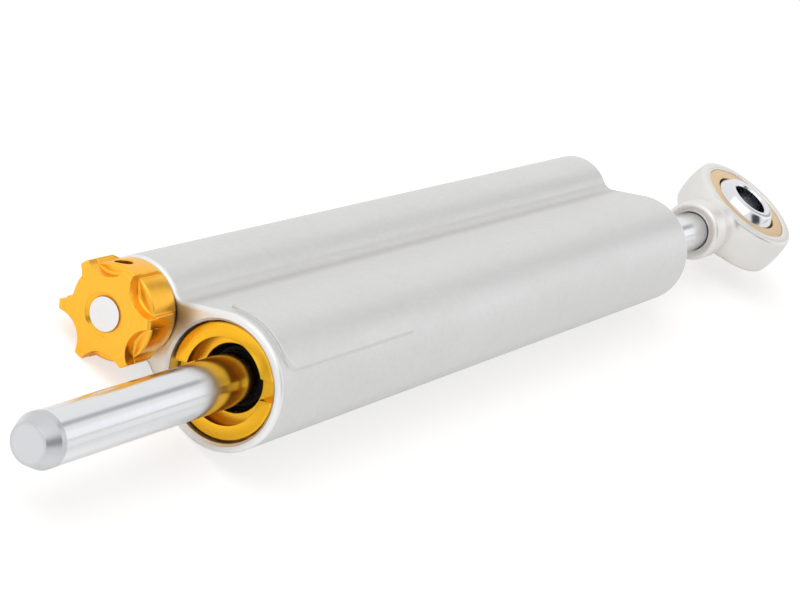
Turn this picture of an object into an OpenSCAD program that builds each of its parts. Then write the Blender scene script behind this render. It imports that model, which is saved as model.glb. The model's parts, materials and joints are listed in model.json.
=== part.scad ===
// Motorcycle steering damper: a through-rod hydraulic damper with a side adjuster, lying on its main
// tube and its knob. +X runs along the main axis towards the rod end and +Z is up. The origin is on the
// main axis at mid-body. All sizes are in millimetres and all angles in degrees.

/* [Body] */
// Length of the twin-lobe body
body_len = 152; // [135:1:190]
// Outer diameter of the main tube
main_d = 21.2; // [20.6:0.1:26]
// Outer diameter of the side tube
side_d = 15.2; // [13.6:0.1:18]
// Distance between the main axis and the side axis
axis_gap = 17.7; // [16.6:0.1:22]
// Angle of the flat ramps beside the main tube, from the line between the two axes
ramp_angle = 62; // [55:0.5:70]
// Radius of the hollow between each ramp and the side tube
waist_r = 2.4; // [1:0.1:5]
// Chamfer round both end faces
end_chamfer = 0.6; // [0.2:0.1:1]
// Bore that the piston slides in
bore_d = 16; // [13.2:0.1:17]
// Wall left round the mouth of the main bore
mouth_wall = 1.4; // [1:0.1:2]
// Drilled port between the main bore and the side gallery
port_d = 3; // [1.5:0.1:3.5]

/* [Pad] */
// Distance from the front face to the raised pad
pad_start = 2.2; // [1.5:0.1:20]
// Length of the raised pad
pad_len = 38.8; // [20:0.2:60]
// Height of the pad above the tube
pad_rise = 0.5; // [0.2:0.1:1]
// Angle round the tube where the pad begins
pad_from = 48; // [46:1:60]
// Angle round the tube where the pad ends
pad_to = 125; // [100:1:135]
// Radius of the pad's corners
pad_corner = 2.4; // [0.5:0.1:4]

/* [Glands] */
// Length of each gland
gland_len = 26; // [24:0.5:32]
// Depth of the gland's face below the end of the body
gland_recess = 0.95; // [0.3:0.05:2]
// Length of the plain land at the gland's face
gland_land = 3; // [2:0.5:5]
// Length of the gland's thread
gland_thread = 6; // [4:0.5:8]
// Gap round the gland's face
gland_gap = 0.3; // [0.1:0.05:0.5]
// Width of the flat ring round the gland's face
gland_ring_w = 2.3; // [1.5:0.1:3]
// Depth of the dish in the gland's face
gland_dish = 2.7; // [1.5:0.1:3.5]
// Width of the two spanner slots
slot_w = 3.1; // [2:0.1:4]
// Depth of the two spanner slots
slot_depth = 2.2; // [1:0.1:2.6]
// Angle of the spanner slots round the main axis
slot_angle = 143; // [0:1:180]

/* [Rod and piston] */
// Diameter of the piston rod
rod_d = 8; // [6.6:0.1:9.6]
// Length of rod that stands out at the front at rest
front_reach = 44.8; // [30:0.2:60]
// Length of rod that shows behind the body at rest
rear_reach = 26.4; // [15:0.2:40]
// Diameter of the flat on the rod's tip
tip_d = 5.9; // [4:0.1:6.4]
// Length of the taper at the rod's tip
tip_taper = 2.2; // [1:0.1:4]
// Travel from rest until the piston meets the rear gland
pull_travel = 43.5; // [20:0.5:48]
// Length of the piston
piston_len = 16; // [12:0.5:20]
// Width of the piston's sliding band
band_w = 8; // [4:0.5:10]

/* [Rod end] */
// Distance from the collar's face to the eye's centre
eye_reach = 24.8; // [22:0.2:36]
// Largest diameter of the head
head_d = 25.7; // [25:0.1:32]
// Diameter of the head's flat faces
head_face_d = 24.5; // [22:0.1:26]
// Thickness of the head
head_w = 9.4; // [9:0.1:13]
// Diameter of the shank's collar
collar_d = 12.4; // [11:0.1:16]
// Outer diameter of the race
race_d = 20.4; // [19:0.1:21]
// Width of the race
race_w = 8.8; // [7:0.1:9.2]
// Diameter of the ball
ball_d = 16.6; // [14:0.1:17]
// Width of the ball across its flats
ball_w = 12; // [9.4:0.1:12.4]
// Bore of the ball
eye_bore = 8; // [5:0.1:9]
// Largest tilt of the ball each way
ball_tilt = 13; // [5:1:15]

/* [Knob] */
// Diameter of the knob over its ribs
knob_d = 16.4; // [16:0.1:19]
// Length of the knob
knob_len = 7.8; // [6.5:0.1:10]
// Diameter of the knob between its ribs
knob_floor_d = 14.8; // [13.8:0.1:15.2]
// Number of ribs
rib_count = 6; // [5:1:7]
// Width of a rib
rib_w = 1.8; // [1:0.1:2.5]
// Width of a rib at its front tip, between the scoops
rib_tip_w = 1.5; // [0.8:0.1:1.7]
// Angle of the first rib round the knob's axis
rib_angle = 24.2; // [0:0.1:60]
// Depth of the scoop at the front of each gap
scoop_depth = 2; // [0.5:0.1:3]
// Distance from the knob's axis to the scoop's wall
scoop_in = 5.6; // [5:0.1:6.4]
// Fall of the domed front from its crest to the rib tips
knob_crown = 0.15; // [0.1:0.05:0.8]
// Gap between the knob and the body
knob_gap = 0.3; // [0.2:0.05:0.6]

/* [Adjuster] */
// Diameter of the adjuster spindle
spindle_d = 5.2; // [4.4:0.1:5.4]
// Distance of the spindle's end below the knob's crest
spindle_sunk = 0.3; // [0:0.02:0.5]
// Length of the adjuster cartridge
cartridge_len = 26; // [25:0.5:30]
// Length of the cartridge's thread
cartridge_thread = 6; // [5:0.5:8]
// Bore for the plain part of the cartridge
cartridge_bore = 10; // [9.8:0.1:10.4]
// Bore of the gallery behind the cartridge
gallery_d = 7; // [6:0.1:8]
// Length of the gallery in front of the needle seat
gallery_len = 7; // [6:0.5:9]
// Length of the needle seat
seat_len = 3; // [2:0.5:4]
// Orifice of the needle seat
orifice_d = 3; // [2.6:0.1:3.4]
// Bore of the passage behind the needle seat
passage_d = 3.8; // [3.2:0.1:4.4]
// Diameter of the lead screw on the spindle
lead_d = 2.8; // [2:0.1:3.2]
// Largest travel of the needle each way
needle_travel = 0.8; // [0.4:0.1:1]
// Diameter of the detent ball
detent_d = 1.5; // [1.2:0.1:1.6]
// Diameter of the grub screw in the knob
grub_d = 2.8; // [2:0.1:3]

/* [Compensator] */
// Bore of the compensator chamber
chamber_d = 10; // [8.4:0.1:10.4]
// Depth of the compensator chamber from the rear face
chamber_len = 34; // [32:0.5:36]
// Length of the compensator piston
comp_len = 8; // [7:0.5:9]
// Travel of the compensator piston towards the front
comp_front_travel = 3.5; // [2:0.1:5]
// Wire diameter of the compensator spring
comp_wire = 0.9; // [0.6:0.05:1]
// Turns of the compensator spring
comp_turns = 7; // [5:1:8]
// Length of the rear plug
plug_len = 6; // [5:0.5:7]
// Diameter of the bleed screw in the rear plug
bleed_d = 3.8; // [3:0.1:4]

/* [Fits] */
// Radial clearance of a running fit
run_clear = 0.04; // [0.02:0.01:0.08]
// Radial clearance of a piece that stays where it is fitted
seat_clear = 0.02; // [0.01:0.01:0.04]
// Radial clearance of a thread drawn plain
thread_clear = 0.05; // [0.02:0.01:0.08]
// Section of the rubber rings round the glands, plugs and cartridge
o_ring_w = 1.36; // [1:0.02:1.6]
// Gap that keeps moving end faces apart
face_gap = 0.3; // [0.1:0.05:0.5]

/* [Hidden] */
$fn = 96;
cut = 1;
corner_steps = 12;
coil_sides = 6;
coil_steps = 16;

half_len = body_len / 2;
main_r = main_d / 2;
side_r = side_d / 2;
bore_r = bore_d / 2;
rod_r = rod_d / 2;
knob_r = knob_d / 2;
tilt = asin((main_r - knob_r) / axis_gap);
side_y = axis_gap * cos(tilt);
side_z = -axis_gap * sin(tilt);

// Length of each ramp, from the main lobe to the hollow
waist_out = main_r + waist_r;
ramp_run = axis_gap * sin(ramp_angle)
    - sqrt(pow(side_r + waist_r, 2) - pow(waist_out - axis_gap * cos(ramp_angle), 2));
// Centre of the hollow, along and across the line between the two axes
waist_u = waist_out * cos(ramp_angle) + ramp_run * sin(ramp_angle);
waist_v = waist_out * sin(ramp_angle) - ramp_run * cos(ramp_angle);
// Depth by which each ramp and each hollow bites into what it meets, so that the faces cross in a clean line
waist_bite = 0.03;
// The ramp's distance from the main axis, and the place on it below the hollow's centre
ramp_r = main_r - waist_bite;
foot_u = waist_u - (waist_r + waist_bite) * cos(ramp_angle);
foot_v = waist_v - (waist_r + waist_bite) * sin(ramp_angle);
// Share of the way from each axis to the ramp's foot or the hollow's centre where the web starts
web_start = 0.25;

pad_mid = (pad_from + pad_to) / 2;
pad_r = main_r + pad_rise;
pad_chord = 2 * pad_r * sin((pad_to - pad_from) / 2);

// Spring clips, and the play of what they hold
clip_w = 1;
clip_gap = 0.1;

// Gland: radii from the mouth of the bore and from the rod, places from its own outer face
mouth_r = main_r - mouth_wall;
mouth_chamfer = 0.4;
gland_x = half_len - gland_recess;
gland_seat = gland_land + gland_thread;
gland_face_r = mouth_r - gland_gap;
gland_dish_r = gland_face_r - gland_ring_w;
gland_edge = 0.4;
gland_inner_x = gland_x - gland_len;
spigot_r = bore_r - thread_clear;
lip_r = rod_r + 1.2;
lip_len = 1.5;
seal_r = rod_r + 2.2;
seal_len = 3;
web_r = rod_r + 0.4;
web_len = 1.2;
bush_r = rod_r + 1.2;
wiper_at = gland_dish + lip_len;
seal_at = wiper_at + seal_len + web_len;
bush_at = seal_at + seal_len + web_len;
bush_end = gland_len - clip_gap - clip_w;
o_ring_slot = o_ring_w + 0.5;
gland_ring_at = bush_at + 2;

// Rod and piston
tip_x = -half_len - front_reach;
collar_x = half_len + rear_reach;
rod_thread = 12.5;
rod_end_x = collar_x + rod_thread;
rod_hole_end = rod_end_x + 0.8;
piston_x = gland_inner_x - face_gap - pull_travel - piston_len / 2;
band_r = bore_r - run_clear;
band_in_r = band_r - 1.4;
piston_r = bore_r - face_gap;
piston_bore_r = rod_r + run_clear;
clip_depth = 0.5;
clip_r = bush_r - face_gap;
piston_ring_w = 1.2;
piston_ring_at = piston_x - piston_len / 2 + 2.6;

// Rod end: the head's side is an arc through its middle and the rims of its faces
eye_x = collar_x + eye_reach;
head_sag = (head_d - head_face_d) / 2;
crown_r = (pow(head_w / 2, 2) + pow(head_sag, 2)) / (2 * head_sag);
collar_r = collar_d / 2;
collar_len = 4.8;
collar_edge = 0.9;
mouth_edge = 0.5;
neck_end_x = eye_x - head_face_d / 2;
neck_end_r = head_w / 2 - 0.1;
race_r = race_d / 2;
ball_r = ball_d / 2;
liner_in = ball_r + run_clear;
liner_wall = 0.25;
liner_out = liner_in + liner_wall;
liner_clear = 0.07;
race_in = liner_out + liner_clear;
liner_half = race_in * sin(asin(race_w / 2 / race_in) - ball_tilt);
bore_chamfer = 0.4;

// Knob, in its own frame: distances run forward from the body's front face
knob_back = knob_gap;
knob_front = knob_gap + knob_len;
rib_front = knob_front - knob_crown;
knob_floor_r = knob_floor_d / 2;
knob_back_edge = 1.7;
rib_chamfer = 0.45;
rib_fall = 0.2;
rib_half_angle = asin(rib_tip_w / 2 / knob_r);
gap_half_angle = 180 / rib_count - rib_half_angle;
scoop_edge_u = knob_r * cos(gap_half_angle);
scoop_edge_v = knob_r * sin(gap_half_angle);
scoop_rim_sq = pow(scoop_edge_u, 2) + pow(scoop_edge_v, 2);
scoop_at = (scoop_rim_sq - pow(scoop_in, 2)) / (2 * (scoop_edge_u - scoop_in));
scoop_r = scoop_at - scoop_in;
crest_r = 3.6;
crown_big_r = (pow(knob_r - crest_r, 2) + pow(knob_crown, 2)) / (2 * knob_crown);
spindle_r = spindle_d / 2;
spindle_front = knob_front - spindle_sunk;
knob_sink = 0.5;
grub_r = grub_d / 2;
grub_at = knob_gap + knob_len * 0.46;
grub_len = 3.6;
grub_angle = rib_angle + 180 / rib_count;
hex_r = 1.5 / 2 / cos(30);
hex_depth = 1.6;

// Adjuster in the side tube: distances run inwards from the body's front face
cart_r = cartridge_bore / 2 - thread_clear;
cart_thread_r = cartridge_bore / 2 + 0.2;
cart_ring_at = cartridge_thread + 0.3;
spindle_bore_r = spindle_r + run_clear;
spindle_ring_at = 3;
spindle_ring_w = 1.2;
spindle_ring_r = spindle_bore_r + spindle_ring_w + seat_clear;
flange_at = cartridge_thread + o_ring_slot + 0.8;
flange_len = 1.2;
flange_r = spindle_r + 0.7;
flange_room_r = flange_r + 0.04;
retainer_at = flange_at + flange_len + clip_gap;
retainer_w = 0.8;
retainer_r = flange_r + 0.5;
retainer_in_r = spindle_r - 0.4;
hex_at = retainer_at + retainer_w + 0.6;
hex_room_r = flange_room_r / cos(30);
hex_nut_r = hex_room_r - 0.1;
nut_at = hex_at + needle_travel + 0.4;
nut_len = 9;
lead_r = lead_d / 2;
lead_end = nut_at + 7;
lead_room = lead_end + needle_travel + 0.4;
stem_r = orifice_d / 2 + 0.1;
seat_at = cartridge_len + gallery_len;
seat_end = seat_at + seat_len;
needle_cone = 3.2;
needle_end = seat_at + 1.2;
needle_tip_r = 0.4;
gallery_r = gallery_d / 2;
front_port = cartridge_len + gallery_len / 2;
detent_r = detent_d / 2;
detent_at = (spindle_bore_r + cart_thread_r) / 2;
detent_angle = grub_angle + 180;
detent_x = knob_gap + 0.05;
detent_clear = 0.12;
detent_room_r = detent_r + run_clear;
detent_hole_end = knob_gap + 4.3;
detent_wire = 0.28;
detent_turns = 4;
detent_spring_at = detent_x + detent_r;
detent_spring_r = detent_room_r - detent_wire / 2 - 0.1;

// Compensator in the side tube: distances run inwards from the body's rear face
chamber_r = chamber_d / 2;
comp_r = chamber_r - run_clear;
comp_at = chamber_len - face_gap - comp_front_travel - comp_len;
comp_cup_r = chamber_r - 0.9;
comp_cup_end = comp_at + comp_len - 3.2;
comp_ring_at = comp_cup_end + 0.6;
plug_r = chamber_r - thread_clear;
plug_clip_at = 1;
plug_clip_w = 1.1;
plug_clip_r = chamber_r + 0.6;
plug_clip_in_r = chamber_r - 1.1;
plug_at = plug_clip_at + plug_clip_w + clip_gap;
plug_end = plug_at + plug_len;
plug_ring_at = plug_at + (plug_len - o_ring_slot) / 2;
bleed_r = bleed_d / 2;
bleed_at = plug_at + 0.4;
bleed_len = plug_len - 1;
comp_spring_r = comp_cup_r - comp_wire / 2 - 0.3;
rear_port = chamber_len + port_d;

SILVER = "gainsboro";
STEEL = "silver";
GOLD = "goldenrod";
RUBBER = "dimgray";
BRONZE = "peru";
PTFE = "ivory";
BRASS = "khaki";

// Least gap between neighbouring turns of each spring
echo(detent_spring_gap =
    coil_gap(detent_hole_end - detent_spring_at, detent_spring_r, detent_wire, detent_turns));
echo(compensator_spring_gap =
    coil_gap(comp_cup_end - plug_end, comp_spring_r, comp_wire, comp_turns));

// Point i on the centreline of a coil that lies along Z
function coil_point(len, r, wire, turns, i) =
    let (a = 360 * i / coil_steps)
    [r * cos(a), r * sin(a), wire / 2 + (len - wire) * i / (turns * coil_steps)];

// Least gap from a coil to itself, on points that are half a turn or more apart
function coil_gap(len, r, wire, turns) =
    let (n = turns * coil_steps, half_turn = coil_steps / 2)
    min([
        for (i = [0:n - half_turn], j = [i + half_turn:n])
            norm(coil_point(len, r, wire, turns, i) - coil_point(len, r, wire, turns, j))
    ]) - wire;

// Frames

// Turns a shape drawn along Z so that it runs along X, with its own X and Y on Y and Z
module on_x(x) translate([x, 0, 0]) rotate([90, 0, 90]) children();

module on_side_axis() translate([0, side_y, side_z]) children();

// Distances run inwards along +X from the front gland's outer face, or the same at the rear
module at_front_gland() translate([-gland_x, 0, 0]) children();

module at_rear_gland() mirror([1, 0, 0]) at_front_gland() children();

// Distances run inwards along +X from the body's front face, on the side axis
module at_side_front() on_side_axis() translate([-half_len, 0, 0]) children();

// Distances run inwards along +X from the body's rear face, on the side axis
module at_side_rear() on_side_axis() translate([half_len, 0, 0]) mirror([1, 0, 0]) children();

// Shapes that repeat

module disc(x0, x1, r) on_x(x0) cylinder(h = x1 - x0, r = r);

module taper(x0, x1, r0, r1) on_x(x0) cylinder(h = x1 - x0, r1 = r0, r2 = r1);

module ring(x0, x1, r_out, r_in) {
    difference() {
        disc(x0, x1, r_out);
        disc(x0 - cut, x1 + cut, r_in);
    }
}

// A round rubber ring lying in a slot that starts at x
module o_ring(x, slot, r_in, w) {
    on_x(x + slot / 2) rotate_extrude() translate([r_in + w / 2, 0]) circle(d = w, $fn = 48);
}

// A coil of round wire between two planes, as one closed tube
module coil(x0, x1, r, wire, turns) {
    n = turns * coil_steps;
    points = [
        for (i = [0:n], k = [0:coil_sides - 1])
            let (a = 360 * i / coil_steps, b = 360 * k / coil_sides, out = wire / 2 * cos(b))
            coil_point(x1 - x0, r, wire, turns, i) + [out * cos(a), out * sin(a), wire / 2 * sin(b)]
    ];
    sides = [
        for (i = [0:n - 1], k = [0:coil_sides - 1])
            let (p = i * coil_sides, q = p + coil_sides, k2 = (k + 1) % coil_sides)
            each [[p + k, p + k2, q + k2], [p + k, q + k2, q + k]]
    ];
    start = [for (k = [1:coil_sides - 2]) [0, k + 1, k]];
    last = n * coil_sides;
    end = [for (k = [1:coil_sides - 2]) [last, last + k, last + k + 1]];
    on_x(x0) polyhedron(points = points, faces = concat(sides, start, end));
}

// Body

// A round bar with chamfered ends along the whole body
module lobe(r) {
    on_x(-half_len) rotate_extrude() polygon([
        [0, 0], [r - end_chamfer, 0], [r, end_chamfer],
        [r, body_len - end_chamfer], [r - end_chamfer, body_len], [0, body_len]
    ]);
}

// The hollow between the lobes, flared at both ends to carry the chamfer round
module waist_cutter() {
    r = waist_r + 2 * waist_bite;
    flare = r + end_chamfer + cut;
    on_x(-half_len) rotate_extrude() polygon([
        [0, -cut], [flare, -cut], [r, end_chamfer],
        [r, body_len - end_chamfer], [flare, body_len + cut], [0, body_len + cut]
    ]);
}

// The flat ramp from the main lobe down to the hollow, with chamfered ends
module ramp() {
    rotate([ramp_angle - 90, 0, 0]) translate([0, ramp_run, 0]) rotate([90, 0, 0])
        linear_extrude(ramp_run) polygon([
            [-half_len, web_start * ramp_r], [half_len, web_start * ramp_r],
            [half_len, ramp_r - end_chamfer], [half_len - end_chamfer, ramp_r],
            [end_chamfer - half_len, ramp_r], [-half_len, ramp_r - end_chamfer]
        ]);
}

// Twin-lobe bar: ramps and a web join the lobes, and the hollows are cut from both sides
module twin_lobe() {
    u_side = axis_gap - web_start * (axis_gap - waist_u);
    v_side = web_start * waist_v;
    edge = [
        [web_start * foot_u, web_start * foot_v], [foot_u, foot_v], [waist_u, waist_v], [u_side, v_side]
    ];
    rotate([-tilt, 0, 0]) difference() {
        union() {
            lobe(main_r);
            translate([0, axis_gap, 0]) lobe(side_r);
            for (m = [0, 1]) mirror([0, 0, m]) ramp();
            on_x(-half_len) linear_extrude(body_len)
                polygon([for (p = edge) p, for (k = [3:-1:0]) [edge[k][0], -edge[k][1]]]);
        }
        for (s = [-1, 1])
            translate([0, waist_u, s * waist_v]) waist_cutter();
    }
}

// A rectangle with round corners, centred
module round_rect(w, h, r) {
    corners = [[1, 1, 0], [-1, 1, 90], [-1, -1, 180], [1, -1, 270]];
    polygon([
        for (c = corners, k = [0:corner_steps])
            let (a = c[2] + 90 * k / corner_steps)
            [c[0] * (w / 2 - r) + r * cos(a), c[1] * (h / 2 - r) + r * sin(a)]
    ]);
}

module raised_pad() {
    intersection() {
        disc(pad_start - cut - half_len, pad_start + pad_len + cut - half_len, pad_r);
        translate([pad_start + pad_len / 2 - half_len, 0, 0]) rotate([pad_mid - 90, 0, 0])
            translate([0, 0, main_r / 2]) linear_extrude(main_r)
                round_rect(pad_len, pad_chord, pad_corner);
    }
}

// Main bore with a threaded mouth for each gland
module main_bores() {
    disc(-half_len - cut, half_len + cut, bore_r);
    for (m = [0, 1]) mirror([m, 0, 0]) {
        disc(-half_len - cut, gland_seat - gland_x, mouth_r);
        taper(-half_len - cut, mouth_chamfer - half_len, mouth_r + mouth_chamfer + cut, mouth_r);
    }
}

// Stepped bores of the side tube, from the cartridge through the seat to the compensator
module side_bores() {
    at_side_front() {
        disc(-cut, cartridge_thread, cart_thread_r + thread_clear);
        disc(-cut, cartridge_len, cartridge_bore / 2);
        disc(cartridge_len - cut, seat_end, gallery_r);
        disc(seat_end - cut, body_len - chamber_len + cut, passage_d / 2);
    }
    at_side_rear() {
        disc(-cut, chamber_len, chamber_r);
        disc(plug_clip_at, plug_clip_at + plug_clip_w, plug_clip_r);
    }
}

module port(x) {
    rotate([-tilt, 0, 0]) translate([x, 0, 0]) rotate([-90, 0, 0]) cylinder(h = axis_gap, d = port_d);
}

module housing() {
    color(SILVER) difference() {
        union() {
            twin_lobe();
            raised_pad();
        }
        main_bores();
        side_bores();
        port(front_port - half_len);
        port(half_len - rear_port);
    }
}

// Glands

module gland() {
    color(GOLD) difference() {
        union() {
            taper(0, gland_edge, gland_face_r - gland_edge, gland_face_r);
            disc(gland_edge, gland_land, gland_face_r);
            disc(gland_land, gland_seat, mouth_r - thread_clear);
            disc(gland_seat, gland_len, spigot_r);
        }
        disc(-cut, gland_dish, gland_dish_r);
        disc(0, gland_len + cut, web_r);
        disc(0, wiper_at, lip_r);
        disc(wiper_at, wiper_at + seal_len, seal_r);
        disc(seal_at, seal_at + seal_len, seal_r);
        disc(bush_at, gland_len + cut, bush_r);
        ring(gland_ring_at, gland_ring_at + o_ring_slot, bore_r, bore_r - thread_clear - o_ring_w);
        rotate([slot_angle, 0, 0]) translate([-cut, -main_r, -slot_w / 2])
            cube([slot_depth + cut, main_d, slot_w]);
    }
}

module gland_o_ring() {
    color(RUBBER) o_ring(gland_ring_at, o_ring_slot, spigot_r - o_ring_w + seat_clear, o_ring_w);
}

// Scraper with a lip that leans outwards along the rod
module wiper() {
    r_out = seal_r - seat_clear;
    r_lip = rod_r + run_clear;
    lip_root = 0.9;
    lip_w = 0.5;
    lip_edge = 0.4;
    end = seal_len - seat_clear;
    color(RUBBER) on_x(wiper_at) rotate_extrude() polygon([
        [r_lip, 0], [r_lip + lip_w, 0], [r_lip + lip_root, lip_root], [r_out, lip_root],
        [r_out, end], [web_r, end], [web_r, 2 * lip_root], [r_lip, lip_edge]
    ]);
}

// Cup seal with its hollow side towards the oil
module rod_seal() {
    r_out = seal_r - seat_clear;
    r_in = rod_r + run_clear;
    mid = (r_out + r_in) / 2;
    end = seal_len - seat_clear;
    cup_half = 0.5;
    cup_depth = 1.2;
    color(RUBBER) on_x(seal_at) rotate_extrude() polygon([
        [r_in, seat_clear], [r_out, seat_clear], [r_out, end], [mid + cup_half, end],
        [mid, end - cup_depth], [mid - cup_half, end], [r_in, end]
    ]);
}

module rod_bush() {
    color(BRONZE) ring(bush_at, bush_end, bush_r - seat_clear, rod_r + run_clear);
}

module front_gland() at_front_gland() gland();
module front_gland_o_ring() at_front_gland() gland_o_ring();
module front_wiper() at_front_gland() wiper();
module front_rod_seal() at_front_gland() rod_seal();
module front_rod_bush() at_front_gland() rod_bush();
module rear_gland() at_rear_gland() gland();
module rear_gland_o_ring() at_rear_gland() gland_o_ring();
module rear_wiper() at_rear_gland() wiper();
module rear_rod_seal() at_rear_gland() rod_seal();
module rear_rod_bush() at_rear_gland() rod_bush();

// Rod and piston

// Runs its children at the groove of each clip, before and behind the piston
module at_clips() {
    translate([piston_x, 0, 0])
        for (m = [0, 1])
            mirror([m, 0, 0]) translate([piston_len / 2 + clip_gap, 0, 0]) children();
}

module piston_rod() {
    color(STEEL) difference() {
        union() {
            taper(tip_x, tip_x + tip_taper, tip_d / 2, rod_r);
            disc(tip_x + tip_taper, rod_end_x, rod_r);
        }
        at_clips() ring(0, clip_w + seat_clear, rod_r + cut, rod_r - clip_depth);
    }
}

module piston() {
    color(STEEL) difference() {
        disc(piston_x - piston_len / 2, piston_x + piston_len / 2, piston_r);
        disc(piston_x - piston_len, piston_x + piston_len, piston_bore_r);
        ring(piston_x - band_w / 2, piston_x + band_w / 2, bore_r, band_in_r);
        disc(piston_ring_at, piston_ring_at + o_ring_slot, piston_bore_r + piston_ring_w + seat_clear);
    }
}

module piston_band() {
    x = band_w / 2 - seat_clear;
    color(PTFE) ring(piston_x - x, piston_x + x, band_r, band_in_r + seat_clear);
}

module piston_o_ring() {
    color(RUBBER) o_ring(piston_ring_at, o_ring_slot, piston_bore_r, piston_ring_w);
}

module piston_clips() {
    color(STEEL) at_clips() ring(seat_clear, clip_w, clip_r, rod_r - clip_depth + seat_clear);
}

// Rod end

module rod_end_housing() {
    color(SILVER) difference() {
        union() {
            translate([eye_x, 0, 0]) rotate_extrude() intersection() {
                translate([0, -head_w / 2]) square([head_d, head_w]);
                translate([head_d / 2 - crown_r, 0]) circle(r = crown_r);
            }
            taper(collar_x, collar_x + collar_edge, collar_r - collar_edge, collar_r);
            disc(collar_x + collar_edge, collar_x + collar_len, collar_r);
            taper(collar_x + collar_len, neck_end_x, collar_r, neck_end_r);
        }
        translate([eye_x, 0, -head_w]) cylinder(h = 2 * head_w, r = race_r);
        disc(collar_x - cut, rod_hole_end, rod_r + seat_clear);
        taper(collar_x - cut, collar_x + mouth_edge, rod_r + mouth_edge + cut, rod_r);
    }
}

module rod_end_race() {
    color(BRONZE) translate([eye_x, 0, 0]) difference() {
        cylinder(h = race_w, r = race_r - seat_clear, center = true);
        sphere(r = race_in);
    }
}

module rod_end_liner() {
    color(PTFE) translate([eye_x, 0, 0]) intersection() {
        difference() {
            sphere(r = liner_out);
            sphere(r = liner_in);
        }
        cylinder(h = 2 * liner_half, r = ball_d, center = true);
    }
}

module rod_end_ball() {
    color(STEEL) translate([eye_x, 0, 0]) difference() {
        intersection() {
            sphere(r = ball_r);
            cylinder(h = ball_w, r = ball_d, center = true);
        }
        cylinder(h = 2 * ball_w, d = eye_bore, center = true);
        for (m = [0, 1]) mirror([0, 0, m]) translate([0, 0, ball_w / 2 - bore_chamfer])
            cylinder(h = bore_chamfer + cut, d1 = eye_bore, d2 = eye_bore + 2 * (bore_chamfer + cut));
    }
}

// Knob

// Distances run forward, away from the body, on the knob's axis
module at_knob() at_side_front() mirror([1, 0, 0]) children();

// Runs its children once for each rib, or once for each gap with half a step of turn
module round_knob(offset_angle) {
    for (i = [0:rib_count - 1])
        rotate([rib_angle + offset_angle + 360 / rib_count * i, 0, 0]) children();
}

// The round form that the knob is turned to: bevelled back, straight side, crowned front
module knob_envelope() {
    on_x(0) rotate_extrude() intersection() {
        polygon([
            [0, knob_back], [knob_floor_r, knob_back], [knob_r, knob_back + knob_back_edge],
            [knob_r, rib_front - rib_fall], [knob_r - rib_chamfer, rib_front],
            [knob_r - rib_chamfer, knob_front + cut], [0, knob_front + cut]
        ]);
        translate([crest_r, knob_front - crown_big_r]) circle(r = crown_big_r, $fn = 240);
    }
}

// The knob's outer form: ribs over a plain side, with a scoop at the front of each gap
module knob_form() {
    difference() {
        intersection() {
            union() {
                disc(knob_back - cut, knob_front + cut, knob_floor_r);
                round_knob(0) translate([knob_back - cut, 0, -rib_w / 2])
                    cube([knob_len + 2 * cut, knob_r + cut, rib_w]);
            }
            knob_envelope();
        }
        round_knob(180 / rib_count) translate([0, scoop_at, 0])
            disc(rib_front - scoop_depth, knob_front + cut, scoop_r);
    }
}

module adjuster_knob() {
    color(GOLD) at_knob() difference() {
        knob_form();
        disc(0, knob_front + cut, spindle_r + seat_clear);
        taper(knob_front - knob_sink, knob_front + cut, spindle_r, crest_r + cut);
        rotate([grub_angle, 0, 0]) translate([grub_at, 0, 0]) rotate([-90, 0, 0])
            cylinder(h = knob_d, r = grub_r + seat_clear);
        rotate([detent_angle, 0, 0]) translate([0, detent_at, 0])
            disc(0, detent_hole_end, detent_room_r);
    }
}

module knob_grub_screw() {
    color(STEEL) at_knob() rotate([grub_angle, 0, 0]) translate([grub_at, spindle_r + seat_clear, 0])
        rotate([-90, 0, 0]) difference() {
            cylinder(h = grub_len, r = grub_r);
            translate([0, 0, grub_len - hex_depth]) cylinder(h = hex_depth + cut, r = hex_r, $fn = 6);
        }
}

// Adjuster

module adjuster_spindle() {
    color(STEEL) at_side_front() {
        disc(-spindle_front, flange_at, spindle_r);
        disc(flange_at, flange_at + flange_len, flange_r);
        disc(flange_at + flange_len, lead_end, lead_r);
    }
}

module spindle_o_ring() {
    color(RUBBER) at_side_front() o_ring(spindle_ring_at, o_ring_slot, spindle_bore_r, spindle_ring_w);
}

module spindle_retainer() {
    color(STEEL) at_side_front()
        ring(retainer_at, retainer_at + retainer_w, retainer_r - seat_clear, retainer_in_r);
}

module adjuster_cartridge() {
    color(BRASS) at_side_front() difference() {
        union() {
            disc(0, cartridge_thread, cart_thread_r);
            disc(cartridge_thread, cartridge_len, cart_r);
        }
        disc(-cut, flange_at, spindle_bore_r);
        disc(spindle_ring_at, spindle_ring_at + o_ring_slot, spindle_ring_r);
        disc(flange_at - seat_clear, hex_at, flange_room_r);
        disc(retainer_at - seat_clear, retainer_at + retainer_w + seat_clear, retainer_r);
        on_x(hex_at - seat_clear) cylinder(h = cartridge_len, r = hex_room_r, $fn = 6);
        ring(cart_ring_at, cart_ring_at + o_ring_slot, cartridge_bore, cart_r - o_ring_w);
        on_x(-detent_x) rotate_extrude() translate([detent_at, 0])
            circle(r = detent_r + detent_clear, $fn = 48);
    }
}

module cartridge_o_ring() {
    color(RUBBER) at_side_front()
        o_ring(cart_ring_at, o_ring_slot, cart_r - o_ring_w + seat_clear, o_ring_w);
}

module metering_needle() {
    color(STEEL) at_side_front() difference() {
        union() {
            on_x(nut_at) cylinder(h = nut_len, r = hex_nut_r, $fn = 6);
            disc(nut_at + nut_len, needle_end - needle_cone, stem_r);
            taper(needle_end - needle_cone, needle_end, stem_r, needle_tip_r);
        }
        disc(nut_at - cut, lead_room, lead_r + run_clear);
    }
}

module needle_seat() {
    color(BRASS) at_side_front() ring(seat_at, seat_end, gallery_r - seat_clear, orifice_d / 2);
}

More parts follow.
